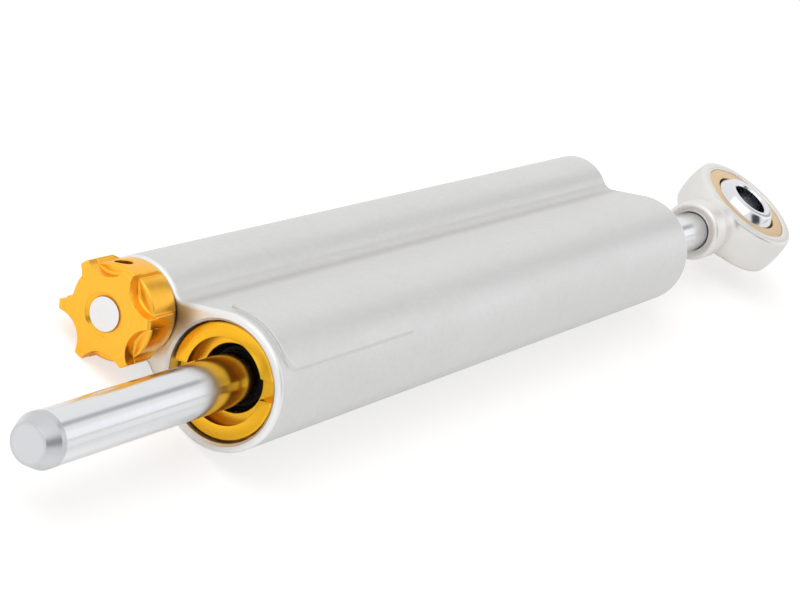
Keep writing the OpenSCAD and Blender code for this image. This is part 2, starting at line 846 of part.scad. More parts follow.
module at_detent() at_knob() rotate([detent_angle, 0, 0]) translate([0, detent_at, 0]) children();

module detent_ball() {
    color(STEEL) at_detent() translate([detent_x, 0, 0]) sphere(r = detent_r, $fn = 48);
}

module detent_spring() {
    color(STEEL) at_detent()
        coil(detent_spring_at, detent_hole_end, detent_spring_r, detent_wire, detent_turns);
}

// Compensator

module compensator_piston() {
    color(STEEL) at_side_rear() difference() {
        disc(comp_at, comp_at + comp_len, comp_r);
        disc(comp_at - cut, comp_cup_end, comp_cup_r);
        ring(comp_ring_at, comp_ring_at + o_ring_slot, chamber_d, comp_r - o_ring_w);
    }
}

module compensator_o_ring() {
    color(RUBBER) at_side_rear()
        o_ring(comp_ring_at, o_ring_slot, comp_r - o_ring_w + seat_clear, o_ring_w);
}

module compensator_spring() {
    color(STEEL) at_side_rear()
        coil(plug_end, comp_cup_end, comp_spring_r, comp_wire, comp_turns);
}

module reservoir_plug() {
    color(SILVER) at_side_rear() difference() {
        disc(plug_at, plug_end, plug_r);
        ring(plug_ring_at, plug_ring_at + o_ring_slot, chamber_d, plug_r - o_ring_w);
        disc(plug_at - cut, plug_end + cut, bleed_r + thread_clear);
    }
}

module reservoir_plug_o_ring() {
    color(RUBBER) at_side_rear()
        o_ring(plug_ring_at, o_ring_slot, plug_r - o_ring_w + seat_clear, o_ring_w);
}

module plug_clip() {
    x0 = plug_clip_at + seat_clear;
    x1 = plug_clip_at + plug_clip_w - seat_clear;
    color(STEEL) at_side_rear() ring(x0, x1, plug_clip_r - seat_clear, plug_clip_in_r);
}

module bleed_screw() {
    color(STEEL) at_side_rear() difference() {
        disc(bleed_at, bleed_at + bleed_len, bleed_r);
        on_x(bleed_at - cut) cylinder(h = hex_depth + cut, r = hex_r, $fn = 6);
    }
}

housing();
front_gland();
front_gland_o_ring();
front_wiper();
front_rod_seal();
front_rod_bush();
rear_gland();
rear_gland_o_ring();
rear_wiper();
rear_rod_seal();
rear_rod_bush();
piston_rod();
piston();
piston_band();
piston_o_ring();
piston_clips();
rod_end_housing();
rod_end_race();
rod_end_liner();
rod_end_ball();
adjuster_knob();
knob_grub_screw();
adjuster_spindle();
spindle_o_ring();
spindle_retainer();
adjuster_cartridge();
cartridge_o_ring();
metering_needle();
needle_seat();
detent_ball();
detent_spring();
compensator_piston();
compensator_o_ring();
compensator_spring();
reservoir_plug();
reservoir_plug_o_ring();
plug_clip();
bleed_screw();
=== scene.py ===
"""Looks of a motorcycle steering damper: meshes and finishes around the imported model.

Everything is in metres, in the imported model's frame: +X along the main axis towards the rod end, +Z up,
and the origin on the main axis at mid-body.
"""

import json
import logging
import math
from dataclasses import dataclass, replace
from enum import Enum
from typing import Callable, Optional, Sequence

import bmesh
import bpy
import numpy as np
from mathutils import Euler, Matrix, Vector


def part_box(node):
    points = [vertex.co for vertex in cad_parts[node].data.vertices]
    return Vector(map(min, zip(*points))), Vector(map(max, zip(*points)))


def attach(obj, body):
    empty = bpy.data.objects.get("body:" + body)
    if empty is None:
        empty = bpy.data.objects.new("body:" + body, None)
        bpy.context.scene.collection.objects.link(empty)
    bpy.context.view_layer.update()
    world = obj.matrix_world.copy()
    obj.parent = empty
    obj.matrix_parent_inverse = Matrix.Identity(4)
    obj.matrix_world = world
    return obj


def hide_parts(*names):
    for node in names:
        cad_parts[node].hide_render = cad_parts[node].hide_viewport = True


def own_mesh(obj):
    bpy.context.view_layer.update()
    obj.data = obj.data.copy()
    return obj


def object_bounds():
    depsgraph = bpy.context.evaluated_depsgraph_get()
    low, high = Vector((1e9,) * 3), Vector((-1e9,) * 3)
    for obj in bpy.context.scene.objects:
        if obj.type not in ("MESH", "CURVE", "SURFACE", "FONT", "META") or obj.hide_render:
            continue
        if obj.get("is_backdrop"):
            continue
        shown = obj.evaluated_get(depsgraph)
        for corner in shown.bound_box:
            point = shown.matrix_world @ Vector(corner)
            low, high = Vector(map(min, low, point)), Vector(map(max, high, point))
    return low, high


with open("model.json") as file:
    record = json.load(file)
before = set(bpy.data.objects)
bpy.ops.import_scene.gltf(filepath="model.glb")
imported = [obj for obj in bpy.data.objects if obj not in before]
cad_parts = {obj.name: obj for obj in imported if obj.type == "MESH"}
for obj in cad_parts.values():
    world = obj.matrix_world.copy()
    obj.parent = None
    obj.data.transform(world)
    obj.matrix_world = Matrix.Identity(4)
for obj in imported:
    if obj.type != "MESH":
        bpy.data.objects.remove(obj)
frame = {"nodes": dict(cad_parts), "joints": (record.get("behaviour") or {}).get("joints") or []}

LOG = logging.getLogger("steering_damper")
MM = 0.001
TURN = 2.0 * math.pi
WHITE = (1.0, 1.0, 1.0, 1.0)
MIRROR_X = Matrix.Diagonal((-1.0, 1.0, 1.0, 1.0))
SHARP = 32.0  # degrees from which an edge stays sharp
WELD = 2e-6  # points this near are one
COPY_WELD = 3e-6  # the same between copies of a sector
SLIVER = 1e-7  # edges this short are dropped
NET_ROUNDS = 4  # times that a net is pulled and evened
PULL_ROUNDS = 4  # steps of one pull
PROBE = 0.02  # share of a cell for measuring a slope
LEAST_SLOPE = 0.1

Point2 = tuple[float, float]
Point3 = tuple[float, float, float]
Colour = tuple[float, float, float]
Ring = np.ndarray
Distance = Callable[[np.ndarray], np.ndarray]


# ---------------------------------------------------------------- measures taken from the frame


class End(Enum):
    """Which end of the body a piece sits at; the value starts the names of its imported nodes."""

    FRONT = "front"
    REAR = "rear"


@dataclass(frozen=True)
class Extent:
    """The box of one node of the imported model."""

    lo: Vector
    hi: Vector

    @classmethod
    def of(cls, node: str) -> "Extent":
        """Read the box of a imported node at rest."""
        lo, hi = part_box(node)
        return cls(lo, hi)

    @property
    def centre(self) -> Vector:
        """Middle of the box."""
        return (self.lo + self.hi) / 2

    @property
    def radius(self) -> float:
        """Radius of a round piece that lies along X."""
        return (self.hi.z - self.lo.z) / 2

    @property
    def length(self) -> float:
        """Length along X."""
        return self.hi.x - self.lo.x


def joint_place(name: str) -> Vector:
    """Find a point on the axis of a joint."""
    return Vector(next(j["pos_m"] for j in frame["joints"] if j["name"] == name))


# ---------------------------------------------------------------- mesh tools


def fillet(corners: Sequence[tuple[float, float, float]], steps: int = 6) -> list[Point2]:
    """Round the corners of a profile.

    Args:
        corners: points as (along, radius, corner radius).
        steps: segments in each rounded corner.

    Returns:
        The profile's points, with an arc at each corner that has a radius.
    """
    out: list[Point2] = []
    last = len(corners) - 1
    for i, (a, b, r) in enumerate(corners):
        here = Vector((a, b))
        if r <= 0 or i in (0, last):
            out.append((a, b))
            continue
        before = (Vector(corners[i - 1][:2]) - here).normalized()
        after = (Vector(corners[i + 1][:2]) - here).normalized()
        half = before.angle(after) / 2
        reach = r / math.tan(half)
        middle = here + (before + after).normalized() * (r / math.sin(half))
        start, stop = here + before * reach - middle, here + after * reach - middle
        sweep = start.angle_signed(stop)
        for k in range(steps + 1):
            turned = Matrix.Rotation(-sweep * k / steps, 2) @ start
            out.append(tuple(middle + turned))
    return out


def quarter(steps: int) -> list[Point2]:
    """Give 1 - sin and 1 - cos of angles up to a right angle, as a rounded edge needs them."""
    turns = [math.pi / 2 * k / steps for k in range(steps + 1)]
    return [(1 - math.sin(t), 1 - math.cos(t)) for t in turns]


def circle_ring(x: float, radius: float, sides: int, axis: Point2 = (0.0, 0.0)) -> Ring:
    """Make one ring of points about an axis along X, which is given by its Y and Z."""
    a = np.arange(sides) * TURN / sides
    return np.stack([np.full(sides, x), axis[0] + radius * np.cos(a), axis[1] + radius * np.sin(a)], 1)


class Builder:
    """Collects rings of points into one closed mesh object."""

    def __init__(self, name: str) -> None:
        """Start an empty mesh for the piece of that name."""
        self.name = name
        self.bm = bmesh.new()

    def skin(self, rings: Sequence[Ring], closed: bool = False, wrap: bool = True, material: int = 0) -> None:
        """Join rings of equal length with faces.

        Args:
            rings: the rings in order.
            closed: whether the last ring joins the first.
            wrap: whether each ring is a closed loop.
            material: index of the material for these faces.
        """
        rows = [[self.bm.verts.new(p) for p in ring] for ring in rings]
        pairs = list(zip(rows, rows[1:])) + ([(rows[-1], rows[0])] if closed else [])
        for a, b in pairs:
            n = len(a)
            for i in range(n if wrap else n - 1):
                j = (i + 1) % n
                self.bm.faces.new((a[i], a[j], b[j], b[i])).material_index = material

    def lathe(self, profile: Sequence[Point2], sides: int, axis: Point2 = (0.0, 0.0), closed: bool = True,
              material: int = 0) -> None:
        """Turn a profile of places along X and radii about an axis along X."""
        self.skin([circle_ring(x, r, sides, axis) for x, r in profile], closed=closed, material=material)

    def fill(self, loops: Sequence[Ring], material: int = 0) -> None:
        """Close a flat face that has holes.

        Args:
            loops: the outer loop and the loops of the holes.
            material: index of the material for these faces.
        """
        edges = []
        for loop in loops:
            verts = [self.bm.verts.new(p) for p in loop]
            edges += [self.bm.edges.new((v, verts[(i + 1) % len(verts)])) for i, v in enumerate(verts)]
        made = bmesh.ops.triangle_fill(self.bm, use_beauty=True, use_dissolve=False, edges=edges)
        for face in made["geom"]:
            if isinstance(face, bmesh.types.BMFace):
                face.material_index = material

    def finish(self, sharp: float = SHARP, place: Optional[Matrix] = None) -> bpy.types.Object:
        """Close the mesh and make it an object.

        Args:
            sharp: angle in degrees from which an edge stays sharp.
            place: transform that puts the points in the frame.

        Returns:
            The object, at the origin.
        """
        if place is not None:
            bmesh.ops.transform(self.bm, matrix=place, verts=self.bm.verts)
        bmesh.ops.remove_doubles(self.bm, verts=self.bm.verts, dist=WELD)
        bmesh.ops.dissolve_degenerate(self.bm, edges=self.bm.edges, dist=SLIVER)
        bmesh.ops.recalc_face_normals(self.bm, faces=self.bm.faces)
        mesh = bpy.data.meshes.new(self.name)
        self.bm.to_mesh(mesh)
        self.bm.free()
        return as_object(self.name, mesh, sharp)


def as_object(name: str, mesh: bpy.types.Mesh, sharp: float) -> bpy.types.Object:
    """Link a mesh to the scene with smooth faces and sharp edges.

    Args:
        name: the piece's name.
        mesh: its mesh.
        sharp: angle in degrees from which an edge stays sharp.

    Returns:
        The object.
    """
    mesh.polygons.foreach_set("use_smooth", [True] * len(mesh.polygons))
    mesh.set_sharp_from_angle(angle=math.radians(sharp))
    obj = bpy.data.objects.new(name, mesh)
    bpy.context.scene.collection.objects.link(obj)
    return obj


def settle(obj: bpy.types.Object, sharp: float) -> bpy.types.Object:
    """Turn an object with modifiers into a plain mesh object.

    Args:
        obj: the object, which is removed.
        sharp: angle in degrees from which an edge stays sharp.

    Returns:
        The plain object, under the same name.
    """
    evaluated = obj.evaluated_get(bpy.context.evaluated_depsgraph_get())
    mesh = bpy.data.meshes.new_from_object(evaluated)
    name = obj.name
    bpy.data.objects.remove(obj)
    mesh.name = name
    return as_object(name, mesh, sharp)


def cut_away(obj: bpy.types.Object, cutter: bpy.types.Object, sharp: float) -> bpy.types.Object:
    """Cut a closed shape out of a piece.

    Args:
        obj: the piece.
        cutter: the shape, which is removed afterwards.
        sharp: angle in degrees from which an edge stays sharp.

    Returns:
        The cut piece.
    """
    cut = obj.modifiers.new("cut", "BOOLEAN")
    cut.operation = "DIFFERENCE"
    cut.solver = "EXACT"
    cut.object = cutter
    done = settle(obj, sharp)
    bpy.data.objects.remove(cutter)
    return done


def soft_max(a: np.ndarray, b: np.ndarray, reach: float) -> np.ndarray:
    """Take the larger of two distances, with a rounded corner of the given reach between them."""
    near = np.maximum(reach - np.abs(a - b), 0.0) / reach
    return np.maximum(a, b) + near * near * reach / 4


def surface_net(distance: Distance, low: Sequence[float], high: Sequence[float],
                step: float) -> tuple[np.ndarray, np.ndarray]:
    """Mesh the surface where a distance is nought.

    Args:
        distance: gives the distance of points, one row each.
        low: lower corner of the space to mesh.
        high: upper corner of it.
        step: size of the mesh's cells.

    Returns:
        The points, and four point numbers for each face.
    """
    counts = [int(math.ceil((b - a) / step)) + 1 for a, b in zip(low, high)]
    axes = [a + step * np.arange(n) for a, n in zip(low, counts)]
    grid = np.stack(np.meshgrid(*axes, indexing="ij"), -1).reshape(-1, 3)
    inside = (distance(grid) < 0).reshape(counts)
    corners = [inside[i:counts[0] - 1 + i, j:counts[1] - 1 + j, k:counts[2] - 1 + k]
               for i in (0, 1) for j in (0, 1) for k in (0, 1)]
    mixed = np.any(corners, axis=0) & ~np.all(corners, axis=0)
    number = np.full(mixed.shape, -1)
    number[mixed] = np.arange(mixed.sum())
    points = np.array(low) + (np.argwhere(mixed) + 0.5) * step
    faces = []
    for axis in range(3):
        a, b = (k for k in range(3) if k != axis)
        edges = np.argwhere(np.diff(inside, axis=axis))
        quad = []
        for da, db in ((0, 0), (1, 0), (1, 1), (0, 1)):
            cell = edges.copy()
            cell[:, a] -= da
            cell[:, b] -= db
            quad.append(number[tuple(cell.T)])
        faces.append(np.stack(quad, 1))
    quads = np.concatenate(faces)
    links = np.concatenate([quads[:, [i, (i + 1) % 4]] for i in range(4)])
    for _ in range(NET_ROUNDS):
        points = pull_to_surface(points, distance, step)
        total, count = np.zeros_like(points), np.zeros(len(points))
        for one, other in ((0, 1), (1, 0)):
            np.add.at(total, links[:, one], points[links[:, other]])
            np.add.at(count, links[:, one], 1.0)
        points = total / count[:, None]
    return pull_to_surface(points, distance, step), quads


def pull_to_surface(points: np.ndarray, distance: Distance, step: float) -> np.ndarray:
    """Move points onto the surface where a distance is nought.

    Args:
        points: the points, one row each.
        distance: gives the distance of points.
        step: size of the mesh's cells.

    Returns:
        The moved points.
    """
    h = step * PROBE
    for _ in range(PULL_ROUNDS):
        rises = [distance(points + h * e) - distance(points - h * e) for e in np.eye(3)]
        slope = np.stack(rises, 1) / (2 * h)
        steep = np.maximum((slope * slope).sum(1), LEAST_SLOPE)
        points = points - (distance(points) / steep)[:, None] * slope
    return points


class Nodes:
    """Adds nodes to a tree and links them in one call."""

    def __init__(self, tree: bpy.types.NodeTree) -> None:
        """Work on a node tree."""
        self.tree = tree

    @classmethod
    def fresh(cls, owner: bpy.types.ID) -> "Nodes":
        """Empty the node tree of a material or a world.

        Args:
            owner: the material or world.

        Returns:
            The helper for its tree.
        """
        owner.use_nodes = True
        owner.node_tree.nodes.clear()
        return cls(owner.node_tree)

    def add(self, kind: str, inputs: Optional[dict] = None, **settings: object) -> bpy.types.Node:
        """Add a node.

        Args:
            kind: the node's type name.
            inputs: values or output sockets by input name or index.
            settings: properties of the node.

        Returns:
            The node.
        """
        node = self.tree.nodes.new(kind)
        for key, value in settings.items():
            setattr(node, key, value)
        for key, value in (inputs or {}).items():
            if isinstance(value, bpy.types.NodeSocket):
                self.tree.links.new(value, node.inputs[key])
            else:
                node.inputs[key].default_value = value
        return node

    def math(self, operation: str, *values: object) -> bpy.types.NodeSocket:
        """Add a math node on numbers or sockets."""
        return self.add("ShaderNodeMath", dict(enumerate(values)), operation=operation).outputs[0]

    def mix(self, factor: object, low: object, high: object) -> bpy.types.NodeSocket:
        """Mix two colours by the share of the second."""
        return self.add("ShaderNodeMix", {0: factor, 6: low, 7: high}, data_type="RGBA").outputs[2]

    def dot(self, direction: object, axis: Sequence[float]) -> bpy.types.NodeSocket:
        """Measure a direction along an axis."""
        inputs = {0: direction, 1: axis}
        return self.add("ShaderNodeVectorMath", inputs, operation="DOT_PRODUCT").outputs["Value"]

    def length(self, a: object, b: object) -> bpy.types.NodeSocket:
        """Measure the length of two steps at right angles."""
        return self.math("SQRT", self.math("ADD", self.math("MULTIPLY", a, a), self.math("MULTIPLY", b, b)))

    def ramp(self, value: object, span: Sequence, result: Sequence) -> bpy.types.NodeSocket:
        """Map a span of values to a span of results, easing at both ends."""
        inputs = dict(enumerate((value, *span, *result)))
        return self.add("ShaderNodeMapRange", inputs, interpolation_type="SMOOTHSTEP").outputs[0]

    def noise(self, place: object, scale: object, detail: float, bent: float = 0.0) -> bpy.types.NodeSocket:
        """Add a noise of the given scale, detail and distortion."""
        inputs = {"Vector": place, "Scale": scale, "Detail": detail, "Distortion": bent}
        return self.add("ShaderNodeTexNoise", inputs).outputs[0]

    def group(self, tree: bpy.types.NodeTree, place: object, values: dict) -> bpy.types.bpy_prop_collection:
        """Place a shared group that reads a position, and give its outputs."""
        return self.add("ShaderNodeGroup", {"Position": place, **values}, node_tree=tree).outputs


class GeometryTree(Nodes):
    """A geometry node tree whose named inputs take the sizes of one piece."""

    KINDS = {int: "NodeSocketInt", float: "NodeSocketFloat", tuple: "NodeSocketVector",
             bpy.types.Material: "NodeSocketMaterial"}

    def __init__(self, name: str, **values: object) -> None:
        """Start a tree with an input for each value.

        Args:
            name: the tree's name.
            values: the inputs' values by name, one of them the Material.
        """
        super().__init__(bpy.data.node_groups.new(name, "GeometryNodeTree"))
        face = self.tree.interface
        for way in ("INPUT", "OUTPUT"):
            face.new_socket("Geometry", in_out=way, socket_type="NodeSocketGeometry")
        self.values: dict[str, object] = {}
        for label, value in values.items():
            socket = face.new_socket(label, in_out="INPUT", socket_type=self.KINDS[type(value)])
            self.values[socket.identifier] = value
        self.given = self.add("NodeGroupInput").outputs

    def run(self, obj: bpy.types.Object, made: bpy.types.NodeSocket, weld: float = 0.0,
            sharp: float = SHARP) -> bpy.types.Object:
        """End the tree in plain dressed geometry and turn an object into it.

        Args:
            obj: the object that the tree works on, which is removed.
            made: the geometry to end with.
            weld: distance within which points are joined, if any.
            sharp: angle in degrees from which an edge stays sharp.

        Returns:
            The plain object.
        """
        made = self.add("GeometryNodeRealizeInstances", {0: made}).outputs[0]
        if weld:
            made = self.add("GeometryNodeMergeByDistance", {"Geometry": made, "Distance": weld}).outputs[0]
        dressed = self.add("GeometryNodeSetMaterial", {"Geometry": made, "Material": self.given["Material"]})
        self.add("NodeGroupOutput", {0: dressed.outputs[0]})
        modifier = obj.modifiers.new(self.tree.name, "NODES")
        modifier.node_group = self.tree
        for identifier, value in self.values.items():
            modifier[identifier] = value
        return settle(obj, sharp)


def repeat_round(obj: bpy.types.Object, count: int, centre: Point3) -> bpy.types.Object:
    """Copy a sector round an axis along X and join the copies.

    Args:
        obj: the sector, made about the X axis; it is removed.
        count: number of copies in a turn.
        centre: a point on the new axis.

    Returns:
        The joined piece.
    """
    tree = GeometryTree("repeat_round", Count=count, Centre=centre, Material=obj.active_material)
    given = tree.given
    points = tree.add("GeometryNodePoints", {"Count": given["Count"], "Position": given["Centre"]})
    turns = tree.math("MULTIPLY", tree.add("GeometryNodeInputIndex").outputs[0], TURN)
    angles = tree.add("ShaderNodeCombineXYZ", {0: tree.math("DIVIDE", turns, given["Count"])})
    rotation = tree.add("FunctionNodeEulerToRotation", {0: angles.outputs[0]})
    copies = tree.add("GeometryNodeInstanceOnPoints", {
        "Points": points.outputs[0], "Instance": given["Geometry"], "Rotation": rotation.outputs[0]})
    return tree.run(obj, copies.outputs[0], weld=COPY_WELD)


# ---------------------------------------------------------------- finishes


def new_group(name: str, inputs: dict[str, float],
              outputs: Sequence[str]) -> tuple[Nodes, bpy.types.bpy_prop_collection]:
    """Start a shader group that reads a position and puts out values.

    Args:
        name: the group's name.
        inputs: its number inputs and their defaults.
        outputs: its output names.

    Returns:
        The node helper and the input sockets by name.
    """
    tree = bpy.data.node_groups.new(name, "ShaderNodeTree")
    tree.interface.new_socket("Position", in_out="INPUT", socket_type="NodeSocketVector")
    for key, value in inputs.items():
        socket = tree.interface.new_socket(key, in_out="INPUT", socket_type="NodeSocketFloat")
        socket.default_value = value
    for key in outputs:
        tree.interface.new_socket(key, in_out="OUTPUT", socket_type="NodeSocketFloat")
    nodes = Nodes(tree)
    return nodes, nodes.add("NodeGroupInput").outputs


class SurfaceGroups:
    """The shader groups that the finishes share."""

    TONE_SHARE = 0.2  # how much coarser the tone of turned marks is than the marks

    def __init__(self) -> None:
        """Build each group once."""
        self.grain = self._grain()
        self.lathe_marks = self._lathe_marks()
        self.handling = self._handling()
        self.valley = self._shade_along_line()

    @staticmethod
    def _grain() -> bpy.types.NodeTree:
        """Blasted or cast grain: fine pits over a coarser mottle that may be drawn out along X.

        Returns:
            The group.
        """
        nodes, given = new_group("blasted_grain", {"Size mm": 0.3, "Mottle mm": 4.0, "Draw": 1.0},
                                 ("Height", "Mottle"))
        fine, broad = (nodes.math("DIVIDE", 1 / MM, given[key]) for key in ("Size mm", "Mottle mm"))
        draw = nodes.math("DIVIDE", 1.0, given["Draw"])
        squeeze = nodes.add("ShaderNodeCombineXYZ", {0: draw, 1: 1.0, 2: 1.0}).outputs[0]
        drawn = nodes.add("ShaderNodeVectorMath", {0: given["Position"], 1: squeeze}, operation="MULTIPLY")
        nodes.add("NodeGroupOutput", {"Height": nodes.noise(given["Position"], fine, 3.0),
                                      "Mottle": nodes.noise(drawn.outputs[0], broad, 5.0)})
        return nodes.tree

    @classmethod
    def _lathe_marks(cls) -> bpy.types.NodeTree:
        """Turned marks: rings round an axis along X, on faces and on cylinders alike.

        Returns:
            The group.
        """
        nodes, given = new_group("lathe_marks", {"Pitch mm": 0.15, "Streak": 0.04}, ("Height", "Tone"))
        x, y, z = nodes.add("ShaderNodeSeparateXYZ", {0: given["Position"]}).outputs
        streak = nodes.math("MULTIPLY", given["Streak"], MM)
        angle = nodes.math("MULTIPLY", nodes.math("ARCTAN2", z, y), streak)
        place = nodes.add("ShaderNodeCombineXYZ", {0: x, 1: nodes.length(y, z), 2: angle}).outputs[0]
        fine = nodes.math("DIVIDE", 1 / MM, given["Pitch mm"])
        coarse = nodes.math("MULTIPLY", fine, cls.TONE_SHARE)
        nodes.add("NodeGroupOutput", {"Height": nodes.noise(place, fine, 2.0),
                                      "Tone": nodes.noise(place, coarse, 3.0)})
        return nodes.tree

    @staticmethod
    def _handling() -> bpy.types.NodeTree:
        """Faint smudges from handling, which change the gloss.

        Returns:
            The group.
        """
        nodes, given = new_group("handling", {"Size mm": 12.0, "Contrast": 2.0}, ("Smudge",))
        scale = nodes.math("DIVIDE", 1 / MM, given["Size mm"])
        centred = nodes.math("SUBTRACT", nodes.noise(given["Position"], scale, 6.0, 0.6), 0.5)
        spread = nodes.math("ADD", nodes.math("MULTIPLY", centred, given["Contrast"]), 0.5)
        nodes.add("NodeGroupOutput", {"Smudge": nodes.add("ShaderNodeClamp", {0: spread}).outputs[0]})
        return nodes.tree

    @staticmethod
    def _shade_along_line() -> bpy.types.NodeTree:
        """Painted shade that darkens the colour along a line parallel to X and fades out at a reach.

        Returns:
            The group.
        """
        nodes, given = new_group("painted_line_shade", {"Y mm": 0.0, "Z mm": 0.0, "Reach mm": 2.4}, ("Shade",))
        places = nodes.add("ShaderNodeSeparateXYZ", {0: given["Position"]}).outputs
        y, z = (nodes.math("SUBTRACT", nodes.math("DIVIDE", place, MM), given[key])
                for place, key in ((places[1], "Y mm"), (places[2], "Z mm")))
        fade = nodes.ramp(nodes.length(y, z), (0.0, given["Reach mm"]), (1.0, 0.0))
        nodes.add("NodeGroupOutput", {"Shade": fade})
        return nodes.tree


class Texture(Enum):
    """How a surface was made, which sets its marks."""

    BLASTED = "blasted"
    TURNED = "turned"


@dataclass(frozen=True)
class Finish:
    """One surface finish, as a procedural material."""

    name: str
    slot: str
    light: Colour
    dark: Colour
    roughness: float
    metallic: float = 1.0
    rough_spread: float = 0.06
    texture: Texture = Texture.TURNED
    mark_mm: float = 0.15
    mottle_mm: float = 4.0
    draw: float = 1.0
    depth: float = 0.1
    depth_mm: float = 0.02
    centre: Point3 = (0.0, 0.0, 0.0)
    upright: bool = False
    specular: float = 0.5
    # a line along X, as Y and Z, where painted shade darkens the colour, with the shade's strength and reach
    valley: Optional[Point2] = None
    shade_weight: float = 0.2
    reach_mm: float = 2.4

    def material(self, groups: SurfaceGroups) -> bpy.types.Material:
        """Build the material.

        Args:
            groups: the shared shader groups.

        Returns:
            The material.
        """
        made = bpy.data.materials.new(self.name)
        nodes = Nodes.fresh(made)
        coords = nodes.add("ShaderNodeTexCoord").outputs["Object"]
        turn = Euler((0.0, math.pi / 2 if self.upright else 0.0, 0.0))
        shift = -(turn.to_matrix() @ Vector(self.centre))
        mapped = nodes.add("ShaderNodeMapping", {"Vector": coords, "Location": shift, "Rotation": turn})
        place = mapped.outputs[0]
        if self.texture is Texture.BLASTED:
            sizes = {"Size mm": self.mark_mm, "Mottle mm": self.mottle_mm, "Draw": self.draw}
            marks = nodes.group(groups.grain, place, sizes)
            tone = marks["Mottle"]
        else:
            marks = nodes.group(groups.lathe_marks, place, {"Pitch mm": self.mark_mm})
            tone = marks["Tone"]
        colour = nodes.mix(tone, (*self.dark, 1.0), (*self.light, 1.0))
        # painted shade: the colour darkens towards a line parallel to X
        if self.valley:
            line = {"Y mm": self.valley[0] / MM, "Z mm": self.valley[1] / MM, "Reach mm": self.reach_mm}
            mask = nodes.group(groups.valley, place, line)["Shade"]
            colour = nodes.mix(nodes.math("MULTIPLY", mask, self.shade_weight), colour, (*SHADE_COLOUR, 1.0))
        smudge = nodes.group(groups.handling, place, {})["Smudge"]
        swing = nodes.math("MULTIPLY", nodes.math("SUBTRACT", smudge, 0.5), 2 * self.rough_spread)
        bump = nodes.add("ShaderNodeBump", {"Height": marks["Height"], "Strength": self.depth,
                                            "Distance": self.depth_mm * MM})
        shader = nodes.add("ShaderNodeBsdfPrincipled", {
            "Base Color": colour, "Roughness": nodes.math("ADD", swing, self.roughness),
            "Metallic": self.metallic, "Normal": bump.outputs[0], "Specular IOR Level": self.specular})
        nodes.add("ShaderNodeOutputMaterial", {"Surface": shader.outputs[0]})
        return made


# colour of the painted shade
SHADE_COLOUR = (0.13, 0.095, 0.07)
SIDE = joint_place("knob_turn")
SIDE_AXIS = (SIDE.y, SIDE.z)
KNOB_CENTRE = (0.0, SIDE.y, SIDE.z)
EYE = tuple(joint_place("ball_tilt"))

BODY_GREY = Finish("blasted_aluminium", "body_aluminium", (0.715, 0.715, 0.705), (0.645, 0.645, 0.632), 0.5,
                   texture=Texture.BLASTED, mark_mm=0.3, mottle_mm=0.8, draw=1.6, depth=0.2)
CUT_FACE = Finish("machined_aluminium", "body_aluminium", (0.84, 0.84, 0.83), (0.78, 0.78, 0.77), 0.42,
                  texture=Texture.BLASTED, mark_mm=0.2, mottle_mm=1.0, depth=0.25, depth_mm=0.01)
GOLD = Finish("gold_anodised", "gold_anodised", (0.96, 0.545, 0.045), (0.88, 0.44, 0.012), 0.28,
              mark_mm=0.12, depth=0.25, depth_mm=0.006)
KNOB_GOLD = replace(GOLD, name="gold_anodised_knob", light=(0.96, 0.53, 0.075), dark=(0.88, 0.42, 0.02),
                    centre=KNOB_CENTRE)
# a darker copy of the gold: painted shade for the wall of the gland's dish
SHADED_GOLD = replace(GOLD, name="gold_anodised_painted_shade", light=(0.46, 0.17, 0.015), dark=(0.36, 0.12, 0.008),
                    roughness=0.34)
CHROME = Finish("hard_chrome", "chrome", (0.73, 0.735, 0.75), (0.69, 0.695, 0.71), 0.18, rough_spread=0.03,
                mark_mm=0.25, depth=0.15, depth_mm=0.004)
TIP_FACE = Finish("faced_rod_tip", "chrome", (0.635, 0.645, 0.66), (0.56, 0.57, 0.585), 0.36, mark_mm=0.3,
                  depth=0.5, depth_mm=0.012)
TIP_TAPER = replace(TIP_FACE, name="turned_rod_tip", light=(0.60, 0.605, 0.62), dark=(0.51, 0.515, 0.53),
                    roughness=0.32)
ROD_END = Finish("satin_rod_end", "rod_end_metal", (0.80, 0.785, 0.755), (0.74, 0.725, 0.695), 0.40,
                 texture=Texture.BLASTED, mark_mm=0.18, mottle_mm=5.0, depth=0.15, depth_mm=0.01)
BALL_CHROME = Finish("polished_ball", "chrome", (0.72, 0.73, 0.75), (0.68, 0.69, 0.72), 0.12,
                     rough_spread=0.02, mark_mm=0.2, depth=0.08, depth_mm=0.003, centre=EYE, upright=True)
RACE = Finish("race_bronze", "race_bronze", (0.78, 0.60, 0.36), (0.70, 0.50, 0.28), 0.36, depth=0.2,
              centre=EYE, upright=True)
BUSH = Finish("sintered_bronze", "bush_bronze", (0.62, 0.42, 0.24), (0.48, 0.31, 0.16), 0.5,
              texture=Texture.BLASTED, mark_mm=0.2, depth=0.4)
RUBBER = Finish("black_rubber", "rubber", (0.012, 0.012, 0.012), (0.006, 0.006, 0.006), 0.7, 0.0,
                texture=Texture.BLASTED, mark_mm=0.2, depth=0.15, specular=0.2)
PTFE = Finish("bearing_plastic", "ptfe", (0.84, 0.80, 0.68), (0.76, 0.71, 0.58), 0.45, 0.0,
              texture=Texture.BLASTED)
TURNED_ALU = Finish("turned_aluminium", "turned_aluminium", (0.74, 0.74, 0.75), (0.66, 0.66, 0.67), 0.32,
                    depth=0.4)
BRASS = Finish("turned_brass", "brass", (0.80, 0.60, 0.27), (0.70, 0.50, 0.20), 0.30, depth=0.3,
               centre=KNOB_CENTRE)
BRIGHT_STEEL = Finish("ground_steel", "bright_steel", (0.80, 0.80, 0.81), (0.73, 0.73, 0.74), 0.34,
                      mark_mm=0.3, depth=0.25, depth_mm=0.006, centre=KNOB_CENTRE)
DARK_STEEL = Finish("black_steel", "dark_steel", (0.06, 0.06, 0.062), (0.035, 0.035, 0.037), 0.38, depth=0.3)
SPRING_STEEL = Finish("spring_wire", "spring_steel", (0.50, 0.50, 0.51), (0.40, 0.40, 0.41), 0.28, depth=0.3)


